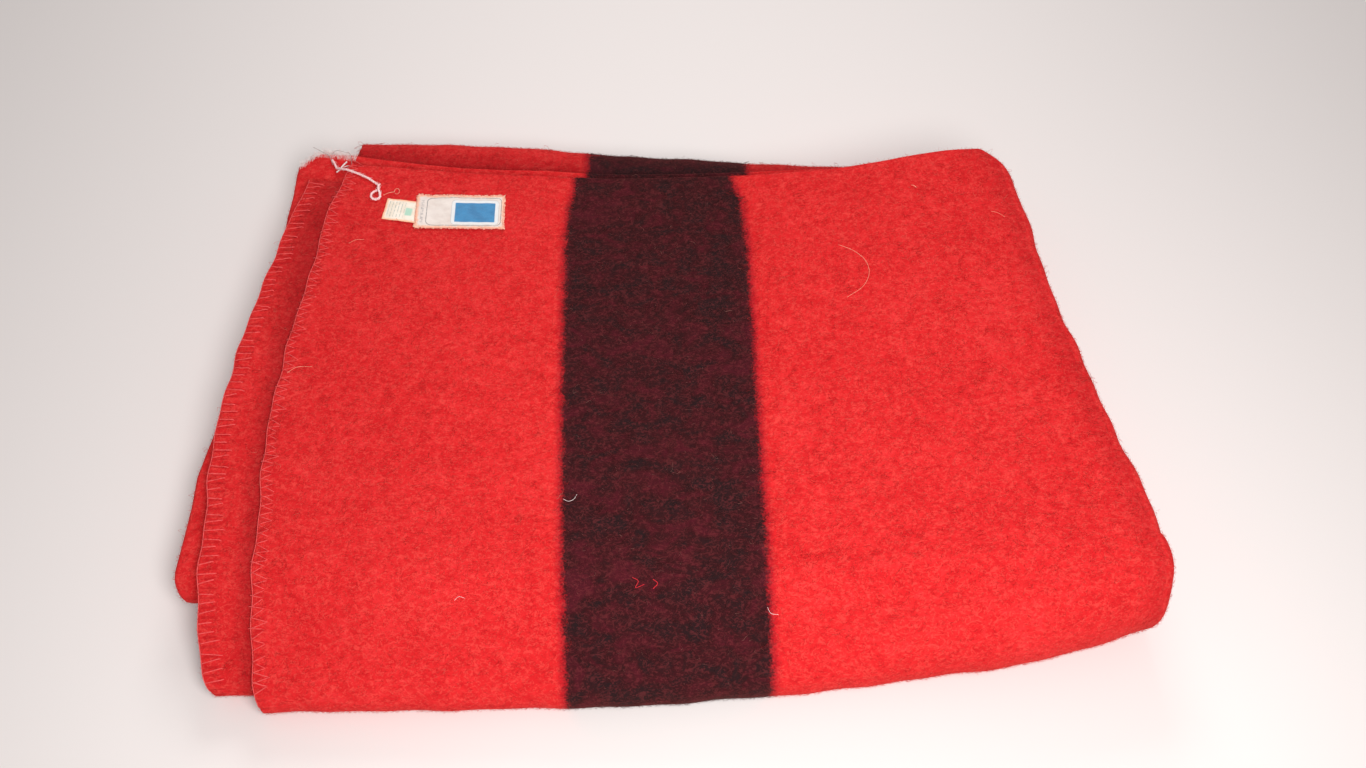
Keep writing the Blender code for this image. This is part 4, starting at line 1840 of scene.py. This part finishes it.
class StitchTree(GrowthTree):
    """The tree that repeats a stitch along a line of points."""

    LEAN = ((0.0, -0.03, -0.22), (0.0, 0.03, 0.22))
    STRETCH = ((0.72, 0.85, 1.0), (1.12, 1.15, 1.0))

    def __init__(self) -> None:
        """Builds the tree."""
        super().__init__("stitches_on_line", {"Stitch": "Object", "Seed": "Int", "Finish": "Material"})
        kind, vector = "GeometryNodeInputNamedAttribute", {"data_type": "FLOAT_VECTOR"}
        inward, upward = (self.node(kind, {"Name": name}, **vector) for name in ("inward", "upward"))
        facing = self.node("FunctionNodeAlignRotationToVector", {"Vector": inward}, axis="X")
        values = {"Rotation": facing, "Vector": upward}
        standing = self.node("FunctionNodeAlignRotationToVector", values, axis="Z", pivot_axis="X")
        lean, stretch = (
            self.node("FunctionNodeRandomValue", {0: low, 1: high, "Seed": self.given["Seed"]}, **vector)
            for low, high in (self.LEAN, self.STRETCH)
        )
        self.close(self.given["Geometry"], "Stitch", self.turned(standing, lean), stretch)

    def repeat(self, name: str, line: tuple, sizes: dict) -> Object:
        """Repeats a stitch on a line.

        Args:
            name: the new piece's name.
            line: points, inward directions and face normals.
            sizes: the stitch, the seed of its unevenness and its finish.

        Returns:
            The stitches as one plain mesh.
        """
        mesh = bpy.data.meshes.new(f"{name}_line")
        count = len(line[0])
        mesh.from_pydata(line[0].tolist(), [(i, i + 1) for i in range(count - 1)], [])
        for key, values in (("inward", line[1]), ("upward", line[2])):
            attribute = mesh.attributes.new(key, "FLOAT_VECTOR", "POINT")
            attribute.data.foreach_set("vector", np.ascontiguousarray(values, np.float32).ravel())
        return self.grow(mesh, name, sizes)


def spaced(line: tuple, pitch: float) -> tuple:
    """Takes points of a line at an even pitch, with their directions.

    Args:
        line: points, inward directions and face normals.
        pitch: the distance between the taken points.

    Returns:
        The taken points, directions and normals.
    """
    along = run_of(line[0])
    at = np.arange(pitch / 2, along[-1] - pitch / 2, pitch)
    taken = [np.stack([np.interp(at, along, row) for row in values.T], axis=1) for values in line]
    return taken[0], unit(taken[1]), unit(taken[2])


class EndStitching:
    """The overlocked ends of the cloth, seen from their two faces."""

    top = Stitch(StitchKind.ZIGZAG, 10.5 * MM, 7.4 * MM, 0.32 * MM)
    second = Stitch(StitchKind.BAR, 13.5 * MM, 6.7 * MM, 0.40 * MM)
    rim_depth = 0.30
    rim_out = 0.15 * MM
    rim_radius = 0.38 * MM
    stitched_until = 3.97

    def __init__(self, cloth: Cloth) -> None:
        """Keeps the cloth whose ends are stitched."""
        self.cloth = cloth
        self.finish = ThreadFinish("overlock_thread", "#f0605e", "#de4a4a").make()

    def build(self) -> list[Object]:
        """Makes both ends' stitches and the thread that runs along each rim.

        Returns:
            The stitches and the thread of each end.
        """
        tree = StitchTree()
        thickness = self.cloth.plan.thickness
        last = len(self.cloth.columns) - 1
        shown = [i for i, row in enumerate(self.cloth.rows) if row.station < self.stitched_until]
        ends = (
            ("top_end", self.top, self.cloth.edge_line(0, 3), 21),
            ("second_end", self.second, self.cloth.edge_line(last, last - 3), 22),
        )
        made = []
        for name, stitch, whole, seed in ends:
            line = tuple(values[shown] for values in whole)
            template = stitch.build()
            sizes = {"Stitch": template, "Seed": seed, "Finish": self.finish}
            piece = tree.repeat(f"{name}_stitches", spaced(line, stitch.pitch), sizes)
            bpy.data.objects.remove(template, do_unlink=True)
            rim = line[0] - line[2] * thickness * self.rim_depth - line[1] * self.rim_out
            thread = tubes_object(f"{name}_rim_thread", [tube(rim, self.rim_radius)])
            made += [dress(part, self.finish) for part in (piece, thread)]
        return made


@dataclass(frozen=True)
class Patch:
    """A thin sewn patch that lies on the cloth: its place, size and edges."""

    name: str
    node: str
    slot: str
    centre: tuple
    size: tuple
    thickness: float
    turn: float
    scallop: float
    scallop_pitch: float
    steps: tuple
    shear: float
    lift: float = 0.9 * MM
    hidden_rim: float = 1.25 * MM
    lowest: float = 50 * MM
    edge_width: float = 2 * MM
    ear: float = 0.7
    foot: float = 1.5 * MM
    curl: float = 2.5 * MM
    curl_from: float = 0.8
    ripple: float = 0.12 * MM
    cross_ripple: float = 0.10 * MM

    def place(self, u: float, v: float) -> tuple[float, float]:
        """Gives x and y of a point of the patch, from the pile's middle.

        Args:
            u, v: its place along and across the patch, from the patch's middle.

        Returns:
            x and y.
        """
        cos, sin = math.cos(self.turn), math.sin(self.turn)
        x = self.centre[0] + u * cos - v * (sin + self.shear) - PILE_CENTRE[0]
        y = self.centre[1] + u * sin + v * cos - PILE_CENTRE[1]
        return x, y

    def covers(self, mesh: Mesh) -> Array:
        """Tells which points of the cloth lie under the patch.

        Args:
            mesh: the finished cloth.

        Returns:
            True for each point under the patch.
        """
        places = points_of(mesh)
        x = places[:, 0] + PILE_CENTRE[0] - self.centre[0]
        y = places[:, 1] + PILE_CENTRE[1] - self.centre[1]
        cos, sin = math.cos(self.turn), math.sin(self.turn)
        u, v = x * cos + y * sin, y * cos - x * sin
        half_u, half_v = (length / 2 - self.hidden_rim for length in self.size)
        return (np.abs(u) < half_u) & (np.abs(v) < half_v) & (places[:, 2] > self.lowest)

    def pinked(self, at: float, phase: float, slow: float) -> float:
        """Gives the pinked edge's wave at a place along it."""
        turn = 2 * math.pi * at / self.scallop_pitch
        return 0.65 * math.sin(turn + phase) + 0.5 * math.sin(turn * slow)

    def outline_shift(self, u: float, v: float) -> tuple[float, float]:
        """Moves a point of the patch's border out and in, for a pinked edge with small ears.

        Args:
            u, v: its place along and across the patch.

        Returns:
            How far it moves along and across the patch.
        """
        near_u, near_v = (
            float(smooth((abs(at) - length / 2 + self.edge_width) / self.edge_width))
            for at, length in zip((u, v), self.size)
        )
        ear = self.ear * self.scallop * near_u * near_v
        out_u = self.scallop * self.pinked(v, 1.1, 0.43) * near_u + ear
        out_v = self.scallop * self.pinked(u, 0.5, 0.37) * near_v + ear
        return math.copysign(out_u, u), math.copysign(out_v, v)

    def raised(self, u: float, v: float, a: float, b: float) -> float:
        """Gives how far a point's middle is over the cloth: the curl of the ends and the ripples.

        Args:
            u, v: its even place along and across the patch.
            a, b: its place with the pinked edge.

        Returns:
            The height over the cloth.
        """
        past = max(0.0, abs(u) / self.size[0] * 2 - self.curl_from)
        curl = self.curl * past * (0.4 + 0.6 * math.sin(v * 400 + u * 90))
        ripple = self.ripple * math.sin(a * 520 + b * 300) + self.cross_ripple * math.sin(b * 700)
        return self.lift + self.thickness / 2 + abs(curl) + ripple

    def build(self, ground: Ground, under: Optional[Callable] = None) -> Object:
        """Makes the patch on the cloth.

        Args:
            ground: the cloth it lies on.
            under: gives the extra height of what lies under it.

        Returns:
            The patch with its thickness.
        """
        us, vs = (
            np.linspace(-length / 2, length / 2, count + 1)
            for length, count in zip(self.size, self.steps)
        )
        points = np.zeros((len(vs), len(us), 3))
        places = np.zeros((len(vs), len(us), 2))
        sides = (-self.foot, self.foot)
        for j, v in enumerate(vs):
            for i, u in enumerate(us):
                du, dv = self.outline_shift(u, v)
                a, b = u + du, v + dv
                x, y = self.place(a, b)
                height = max(ground.height(x + ox, y + oy) for ox in sides for oy in sides)
                height += under(x) if under else 0.0
                points[j, i] = (x, y, height + self.raised(u, v, a, b))
                places[j, i] = (a, b)
        mesh = grid_mesh(self.name, points)
        store_uv(mesh, "patch", places.reshape(-1, 2))
        made = flattened(thickened(link(self.name, mesh), self.thickness), self.name)
        shell = bmesh.new()
        shell.from_mesh(made.data)
        bmesh.ops.recalc_face_normals(shell, faces=shell.faces)
        shell.to_mesh(made.data)
        shell.free()
        return made


class SewnPatches:
    """The main label and the care tag that is caught under its left end."""

    label = Patch(
        name="woven_main_label",
        node="main_label",
        slot="woven_label",
        centre=(-160.2 * MM, 748.3 * MM),
        size=(70.8 * MM, 35 * MM),
        thickness=0.5 * MM,
        turn=-0.045,
        scallop=1.25 * MM,
        scallop_pitch=4.3 * MM,
        steps=(110, 56),
        shear=0.05,
    )
    tag = Patch(
        name="printed_tag",
        node="care_tag",
        slot="care_tag",
        centre=(-206.5 * MM, 750.6 * MM),
        size=(32 * MM, 23 * MM),
        thickness=0.3 * MM,
        turn=-0.19,
        scallop=0.2 * MM,
        scallop_pitch=3.0 * MM,
        steps=(44, 32),
        shear=0.07,
    )
    fray_count = 620
    fray_inset = 0.2 * MM
    fray_corner = (30 * MM, 14 * MM)
    sewn_inset = (1.5 * MM, 1.4 * MM)
    stitch_pitch = 2.7 * MM
    stitch_length = 1.8 * MM
    # Along one stitch: the share of its length and the height over the label, in millimetres.
    stitch_heights = ((0.0, 0.35), (0.25, 0.66), (0.75, 0.66), (1.0, 0.35))

    def __init__(self, ground: Ground) -> None:
        """Keeps the cloth that the patches lie on."""
        self.ground = ground

    def over_tag(self, x: float) -> float:
        """Gives how far the label rides up over the tag at x."""
        end = self.tag.centre[0] + self.tag.size[0] / 2 - PILE_CENTRE[0]
        return float((self.tag.thickness + 0.25 * MM) * (1.0 - smooth((x - end) / (10 * MM))))

    def build(self) -> list[Object]:
        """Makes both patches, the label's frayed edge and its sewing.

        Returns:
            The four pieces.
        """
        label = self.label.build(self.ground, self.over_tag)
        dress(label, LabelFinish().make())
        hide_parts(self.label.node)
        tag = self.tag.build(self.ground)
        dress(tag, TagFinish().make())
        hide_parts(self.tag.node)
        return [label, tag, self.fraying(), self.stitches()]

    def border(self, rng: np.random.Generator) -> list[tuple]:
        """Takes places round the label's border.

        Args:
            rng: draws the places.

        Returns:
            The places, each with its outward direction.
        """
        half_u, half_v = (length / 2 - self.fray_inset for length in self.label.size)
        found = []
        for _ in range(self.fray_count):
            t = rng.uniform(0, 4 * (half_u + half_v))
            if t < 2 * half_u:
                found.append(((t - half_u, half_v), (0.0, 1.0)))
            elif t < 4 * half_u:
                found.append(((t - 3 * half_u, -half_v), (0.0, -1.0)))
            elif t < 4 * half_u + 2 * half_v:
                found.append(((half_u, t - 4 * half_u - half_v), (1.0, 0.0)))
            else:
                found.append(((-half_u, t - 4 * half_u - 3 * half_v), (-1.0, 0.0)))
        return found

    def on_label(self, u: float, v: float, raised: float) -> Array:
        """Gives the place over a point of the label.

        Args:
            u, v: its place along and across the label.
            raised: its height over the label's underside.

        Returns:
            The place.
        """
        x, y = self.label.place(u, v)
        base = self.ground.height(x, y) + self.label.lift + self.over_tag(x)
        return np.array([x, y, base + raised])

    def fraying(self) -> Object:
        """Makes the loose warp ends round the label.

        Returns:
            The ends as one piece.
        """
        rng = np.random.default_rng(31)
        tubes = []
        for (u, v), (ou, ov) in self.border(rng):
            reach = rng.uniform(0.6, 1.7) * MM
            side = rng.uniform(-0.9, 0.9) * MM
            at_corner = abs(u) > self.fray_corner[0] and abs(v) > self.fray_corner[1]
            out = reach * (1.3 if at_corner else 1.0)
            spots = []
            for share in (0.0, 0.5, 1.0):
                bend = side * share**1.5
                raised = (0.45 + 0.35 * math.sin(share * 3.0) + rng.uniform(0, 0.25)) * MM
                a, b = u + ou * out * share + ov * bend, v + ov * out * share + ou * bend
                spots.append(self.on_label(a, b, raised))
            tubes.append(tube(along_curve(np.array(spots), 4), rng.uniform(0.16, 0.30) * MM, 3))
        finish = ThreadFinish("frayed_label_thread", "#ffd0b8", "#f7b096").make()
        return dress(tubes_object("label_fraying", tubes), finish)

    def stitches(self) -> Object:
        """Makes the thread that sews the label down.

        Returns:
            The stitches as one piece.
        """
        half_u, half_v = (length / 2 - inset for length, inset in zip(self.label.size, self.sewn_inset))
        tubes = []
        runs = (
            ((-half_u, half_v), (1, 0), 2 * half_u),
            ((-half_u, -half_v), (1, 0), 2 * half_u),
            ((half_u, -half_v), (0, 1), 2 * half_v),
            ((-half_u, -half_v), (0, 1), 2 * half_v),
        )
        for (u0, v0), (du, dv), total in runs:
            for k in range(int(total / self.stitch_pitch)):
                spots = []
                for share, raised in self.stitch_heights:
                    s = k * self.stitch_pitch + 0.4 * MM + self.stitch_length * share
                    spots.append(self.on_label(u0 + du * s, v0 + dv * s, raised * MM))
                tubes.append(tube(np.array(spots), 0.11 * MM, 4))
        finish = ThreadFinish("label_sewing_thread", "#e9d9c6", "#cdb79f").make()
        return dress(tubes_object("label_stitches", tubes), finish)


class YarnTail:
    """The loose end of the edge yarn: two plies, laid in a curve with a loop at its tip."""

    diameter = 2.0 * MM
    ply_radius = 0.64 * MM
    twist_pitch = 5.2 * MM
    clearance = 0.3 * MM
    rings = 300
    sides = 8
    fuzz_count = 230

    def __init__(self, plan: FoldPlan, settling: Settling) -> None:
        """Places the yarn's centre line.

        Args:
            plan: where the cloth lies.
            settling: the warp that the cloth has taken.
        """
        route = np.array(YARN_ROUTE, float) * MM
        top = plan.top_face(route[:, 0], route[:, 1])
        route[:, 2] += top + self.clearance + self.diameter / 2
        self.line = settling.apply(along_curve(route, self.rings) - PILE_CENTRE)

    def build(self) -> Object:
        """Returns:
            The yarn.
        """
        line = self.line
        ahead = unit(np.gradient(line, axis=0))
        along = run_of(line)
        side = unit(np.cross(ahead, np.array([0.0, 0.0, 1.0])))
        other = np.cross(ahead, side)
        tubes = []
        for start in (0.0, math.pi):
            angle = 2 * math.pi * along / self.twist_pitch + start
            away = self.diameter / 2 - self.ply_radius
            offset = away * (np.cos(angle)[:, None] * side + np.sin(angle)[:, None] * other)
            tubes.append(tube(line + offset, self.ply_radius, self.sides))
        piece = tubes_object("yarn_tail_plies", tubes)
        finish = ThreadFinish("white_edge_yarn", "#ffe6e4", "#f4c4c4", relief=0.12 * MM).make()
        dress(piece, finish)
        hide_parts("yarn_tail")
        LOG.info("yarn is %.4f m long", along[-1])
        return piece

    def fuzz(self) -> Object:
        """Makes the fibres that stand off the yarn.

        Returns:
            The fibres as one piece.
        """
        rng = np.random.default_rng(77)
        tubes = []
        for _ in range(self.fuzz_count):
            i = int(rng.integers(0, len(self.line) - 6))
            start = self.line[i]
            way = rng.normal(size=3)
            way[2] = abs(way[2]) * 0.6
            way = unit(way)
            ahead = unit(self.line[i + 5] - start)
            reach = rng.uniform(1.2, 2.4) * MM
            middle = start + way * reach * 0.7 + ahead * reach * 0.4
            spots = np.array([start, middle, start + way * reach + ahead * reach * 1.3])
            tubes.append(tube(along_curve(spots, 4), 0.055 * MM, 3))
        finish = ThreadFinish("white_yarn_fuzz", "#fff4f0", "#f3dcd8").make()
        return dress(tubes_object("yarn_fuzz", tubes), finish)


@dataclass(frozen=True)
class Hair:
    """One loose fibre on the cloth: places in the plan, in millimetres, and heights over it."""

    places: tuple
    radius: float
    colour: int


BLOND, WHITE, SCARLET, GREY = range(4)

# The loose fibres that the photograph shows, the hairs first and then the threads.
HAIRS = (
    Hair(
        (
            (143, 690, 0.2), (153, 683, 1.2), (162, 672, 1.4), (164, 661, 1.2), (159, 649, 0.9),
            (145, 639, 0.3),
        ),
        0.17,
        BLOND,
    ),
    Hair(((-279, 590, 0.2), (-273, 594, 1.0), (-261, 595, 0.3)), 0.17, BLOND),
    Hair(((-248, 718, 0.2), (-242, 721, 0.7), (-236, 721, 0.3)), 0.16, BLOND),
    Hair(((266, 714, 0.2), (271, 712, 0.6), (276, 708, 0.3)), 0.14, BLOND),
    Hair(((206, 744, 0.2), (208, 743, 0.6), (210, 741, 0.3)), 0.25, BLOND),
    Hair(((-70, 474.5, 0.3), (-66, 472.5, 0.6), (-62.5, 474, 0.7), (-60.5, 478, 0.3)), 0.15, WHITE),
    Hair(((-22, 412, 0.2), (-18, 409, 0.8), (-20, 405, 1.0), (-14, 407, 0.2)), 0.24, SCARLET),
    Hair(((-8, 410, 0.2), (-5, 407, 0.9), (-8, 404, 0.5)), 0.3, SCARLET),
    Hair(
        (
            (-225.2, 769.7, 0.4), (-222.4, 771, 0.9), (-219.3, 772, 1.2), (-216.4, 772.6, 1.2),
            (-215.8, 775.1, 1.3), (-214.1, 775.9, 1.3), (-212.4, 774.1, 1.2), (-212.5, 771.1, 1.0),
            (-214, 770, 0.9), (-216, 771.5, 0.9),
        ),
        0.24,
        BLOND,
    ),
    Hair(((-142, 402, 0.2), (-139, 404, 0.5), (-135, 403, 0.2)), 0.12, WHITE),
    Hair(((68, 389, 0.2), (70, 385, 0.8), (75, 384, 0.3)), 0.12, WHITE),
    Hair(((-293, 834, 1.5), (-286, 830, 3.0), (-278, 824, 4.0), (-275, 817, 2.0)), 0.26, GREY),
    Hair(
        (
            (-276, 826, 3.5), (-272.6, 829, 4.5), (-268.7, 830, 5.0), (-265, 829, 4.5), (-261, 826, 3.5),
            (-259.4, 822, 2.5), (-259.4, 818, 1.2),
        ),
        0.2,
        GREY,
    ),
    Hair(((-263.5, 820, 1.6), (-266.4, 815, 1.8), (-268.6, 811.5, 1.0), (-271, 809, 0.6)), 0.75, WHITE),
    Hair(((-266, 815, 0.6), (-262, 816, 1.0), (-257, 814, 0.5)), 0.45, WHITE),
)


class LooseFibres:
    """The single hairs, threads and frayed fibres that lie on the cloth."""

    LOWEST = 50 * MM
    OVER_NOTHING = 55 * MM
    FRAY_COUNT = 480
    FRAY_FROM, FRAY_TO = -304, -256
    FRAY_OVER_NOTHING = 46 * MM

    def __init__(self, ground: Ground, cloth: Cloth) -> None:
        """Keeps the cloth that the fibres lie on.

        Args:
            ground: the finished cloth.
            cloth: its plan.
        """
        self.ground = ground
        self.cloth = cloth
        self.finishes = (
            ThreadFinish("blond_hair", "#ffb49a", "#f08a70").make(),
            ThreadFinish("white_fibre", "#fdf3ee", "#e9d2ce").make(),
            ThreadFinish("scarlet_fleck", "#e8323a", "#b81a2a").make(),
            ThreadFinish("grey_thread", "#c9bdb8", "#8f8480").make(),
        )

    def laid(self, hair: Hair) -> tuple[list, list]:
        """Lays one fibre on the cloth.

        Args:
            hair: the fibre.

        Returns:
            Its vertices and faces.
        """
        spots = []
        for x, y, raised in hair.places:
            px, py = x * MM - PILE_CENTRE[0], y * MM - PILE_CENTRE[1]
            base = max(self.ground.height(px, py, self.OVER_NOTHING), self.LOWEST)
            spots.append((px, py, base + raised * MM + hair.radius * MM))
        return tube(along_curve(np.array(spots), 24), hair.radius * MM, 5)

    def build(self) -> list[Object]:
        """Makes the hairs, the threads and the frayed selvedge.

        Returns:
            One piece for each colour, and the frayed selvedge.
        """
        made = []
        for index, finish in enumerate(self.finishes):
            chosen = [hair for hair in HAIRS if hair.colour == index]
            piece = tubes_object(f"loose_{finish.name}", [self.laid(hair) for hair in chosen])
            made.append(dress(piece, finish))
        made.append(self.frayed_selvedge())
        return made

    def frayed_selvedge(self) -> Object:
        """Makes the white fibres that stand out at the far left of the second selvedge.

        Returns:
            The fibres as one piece.
        """
        rng = np.random.default_rng(53)
        tubes = []
        for _ in range(self.FRAY_COUNT):
            x = rng.uniform(self.FRAY_FROM, self.FRAY_TO) * MM
            y = float(self.cloth.plan.second_selvedge_y(x)) - rng.uniform(0.5, 5) * MM
            px, py = x - PILE_CENTRE[0], y - PILE_CENTRE[1]
            start = np.array([px, py, self.ground.height(px, py, self.FRAY_OVER_NOTHING)])
            reach = rng.uniform(2.0, 6.5) * MM
            way = unit(np.array([rng.normal(0, 0.5), 1.0, rng.normal(0.25, 0.35)]))
            bend = rng.normal(0, 0.35, 3) * reach
            middle = start + way * reach * 0.55 + bend * 0.3
            spots = np.array([start, middle, start + way * reach + bend * 0.5])
            tubes.append(tube(along_curve(spots, 4), rng.uniform(0.10, 0.20) * MM, 3))
        return dress(tubes_object("frayed_selvedge", tubes), self.finishes[WHITE])


@dataclass(frozen=True)
class PhotoCamera:
    """A camera at the photograph's place and angle."""

    height: float = 0.870
    pitch_down: float = math.radians(54.7)
    turn: float = math.radians(1.7)
    lens: float = 35.0
    sensor: float = 36.0

    def build(self) -> None:
        """Makes the camera and sets it as the scene's."""
        cos, sin = math.cos(self.turn), math.sin(self.turn)
        right = Vector((cos, -sin, 0.0))
        ahead = Vector((sin, cos, 0.0))
        look = ahead * math.cos(self.pitch_down) - Vector((0.0, 0.0, math.sin(self.pitch_down)))
        upward = ahead * math.sin(self.pitch_down) + Vector((0.0, 0.0, math.cos(self.pitch_down)))
        data = bpy.data.cameras.new("photo_camera")
        data.lens = self.lens
        data.sensor_width = self.sensor
        data.clip_start, data.clip_end = 0.01, 20.0
        camera = bpy.data.objects.new("photo_camera", data)
        bpy.context.scene.collection.objects.link(camera)
        turn = Matrix((right, upward, -look)).transposed().to_4x4()
        turn.translation = Vector((-PILE_CENTRE[0], -PILE_CENTRE[1], self.height))
        camera.matrix_world = turn
        bpy.context.scene.camera = camera


@dataclass(frozen=True)
class Lamp:
    """One soft area light that looks at a point."""

    name: str
    place: tuple
    target: tuple
    size: float
    power: float
    colour: str
    spread: float = math.radians(120)

    def build(self) -> None:
        """Makes the light, whose beam is narrowed as by a grid."""
        data = bpy.data.lights.new(self.name, "AREA")
        data.shape = "DISK"
        data.size = self.size
        data.energy = self.power
        data.spread = self.spread
        data.color = linear(self.colour)[:3]
        lamp = bpy.data.objects.new(self.name, data)
        lamp.location = self.place
        way = Vector(self.target) - Vector(self.place)
        lamp.rotation_euler = way.to_track_quat("-Z", "Y").to_euler()
        bpy.context.scene.collection.objects.link(lamp)


class Studio:
    """The pale floor, the soft lights and the camera."""

    LAMPS = (
        Lamp("front_softbox", (0.20, -0.78, 1.00), (0.04, -0.12, 0.0), 0.55, 6.8, "#fffafa"),
        Lamp("back_softbox", (0.05, 1.25, 1.10), (0.0, 0.15, 0.0), 0.8, 4.5, "#fffafa"),
    )
    WORLD_COLOUR = "#f3efef"
    WORLD_STRENGTH = 0.36
    FLOOR_HALF = 12.0
    FLOOR_HEIGHT = -0.3 * MM

    def build(self) -> None:
        """Makes the studio."""
        half, height = self.FLOOR_HALF, self.FLOOR_HEIGHT
        points = [(x * half, y * half, height) for x, y in ((-1, -1), (1, -1), (1, 1), (-1, 1))]
        mesh = bpy.data.meshes.new("studio_floor")
        mesh.from_pydata(points, [], [(0, 1, 2, 3)])
        floor = link("studio_floor", mesh)
        floor.data.materials.append(FloorFinish().make())
        floor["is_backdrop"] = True
        for lamp in self.LAMPS:
            lamp.build()
        world = bpy.data.worlds.new("studio")
        world.use_nodes = True
        background = world.node_tree.nodes["Background"]
        background.inputs[0].default_value = linear(self.WORLD_COLOUR)
        background.inputs[1].default_value = self.WORLD_STRENGTH
        scene = bpy.context.scene
        scene.world = world
        scene.view_settings.view_transform = "Standard"
        scene.view_settings.look = "None"
        scene.view_settings.exposure = 0.0


def corners() -> list[list[float]]:
    """Measures what is shown.

    Returns:
        The lowest and the highest corner, as plain numbers.
    """
    low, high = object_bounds()
    return [[float(v) for v in low], [float(v) for v in high]]


def report(pieces: Sequence[Object]) -> None:
    """Logs each piece with its number of triangles."""
    for piece in pieces:
        triangles = sum(len(p.vertices) - 2 for p in piece.data.polygons)
        LOG.info("%s: %d triangles", piece.name, triangles)


def main() -> None:
    """Builds the camera, the cord, the cloth and what lies on it, and the studio."""
    logging.basicConfig(level=logging.INFO, format="%(name)s: %(message)s")
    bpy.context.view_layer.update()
    PhotoCamera().build()
    plan, settling = FoldPlan(), Settling()
    yarn = YarnTail(plan, settling)
    pieces = [yarn.build(), yarn.fuzz()]
    cloth = Cloth(plan, settling)
    sheet = cloth.build()
    dress(sheet, WoolFinish().make())
    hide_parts("blanket")
    ground = Ground(sheet)
    stitching = EndStitching(cloth).build()
    nap = Nap(sheet, ground.openness(sheet.data, OPEN_REACH)).build()
    pieces += [sheet, *stitching, *nap]
    pieces += SewnPatches(ground).build()
    pieces += LooseFibres(ground, cloth).build()
    Studio().build()
    report(pieces)


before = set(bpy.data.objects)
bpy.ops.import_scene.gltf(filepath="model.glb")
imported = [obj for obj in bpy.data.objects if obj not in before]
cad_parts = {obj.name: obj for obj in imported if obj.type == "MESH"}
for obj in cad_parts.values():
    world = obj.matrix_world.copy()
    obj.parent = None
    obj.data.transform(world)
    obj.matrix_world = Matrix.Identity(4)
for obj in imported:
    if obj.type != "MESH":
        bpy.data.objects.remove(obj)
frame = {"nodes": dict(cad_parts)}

if __name__ == "__main__":
    main()
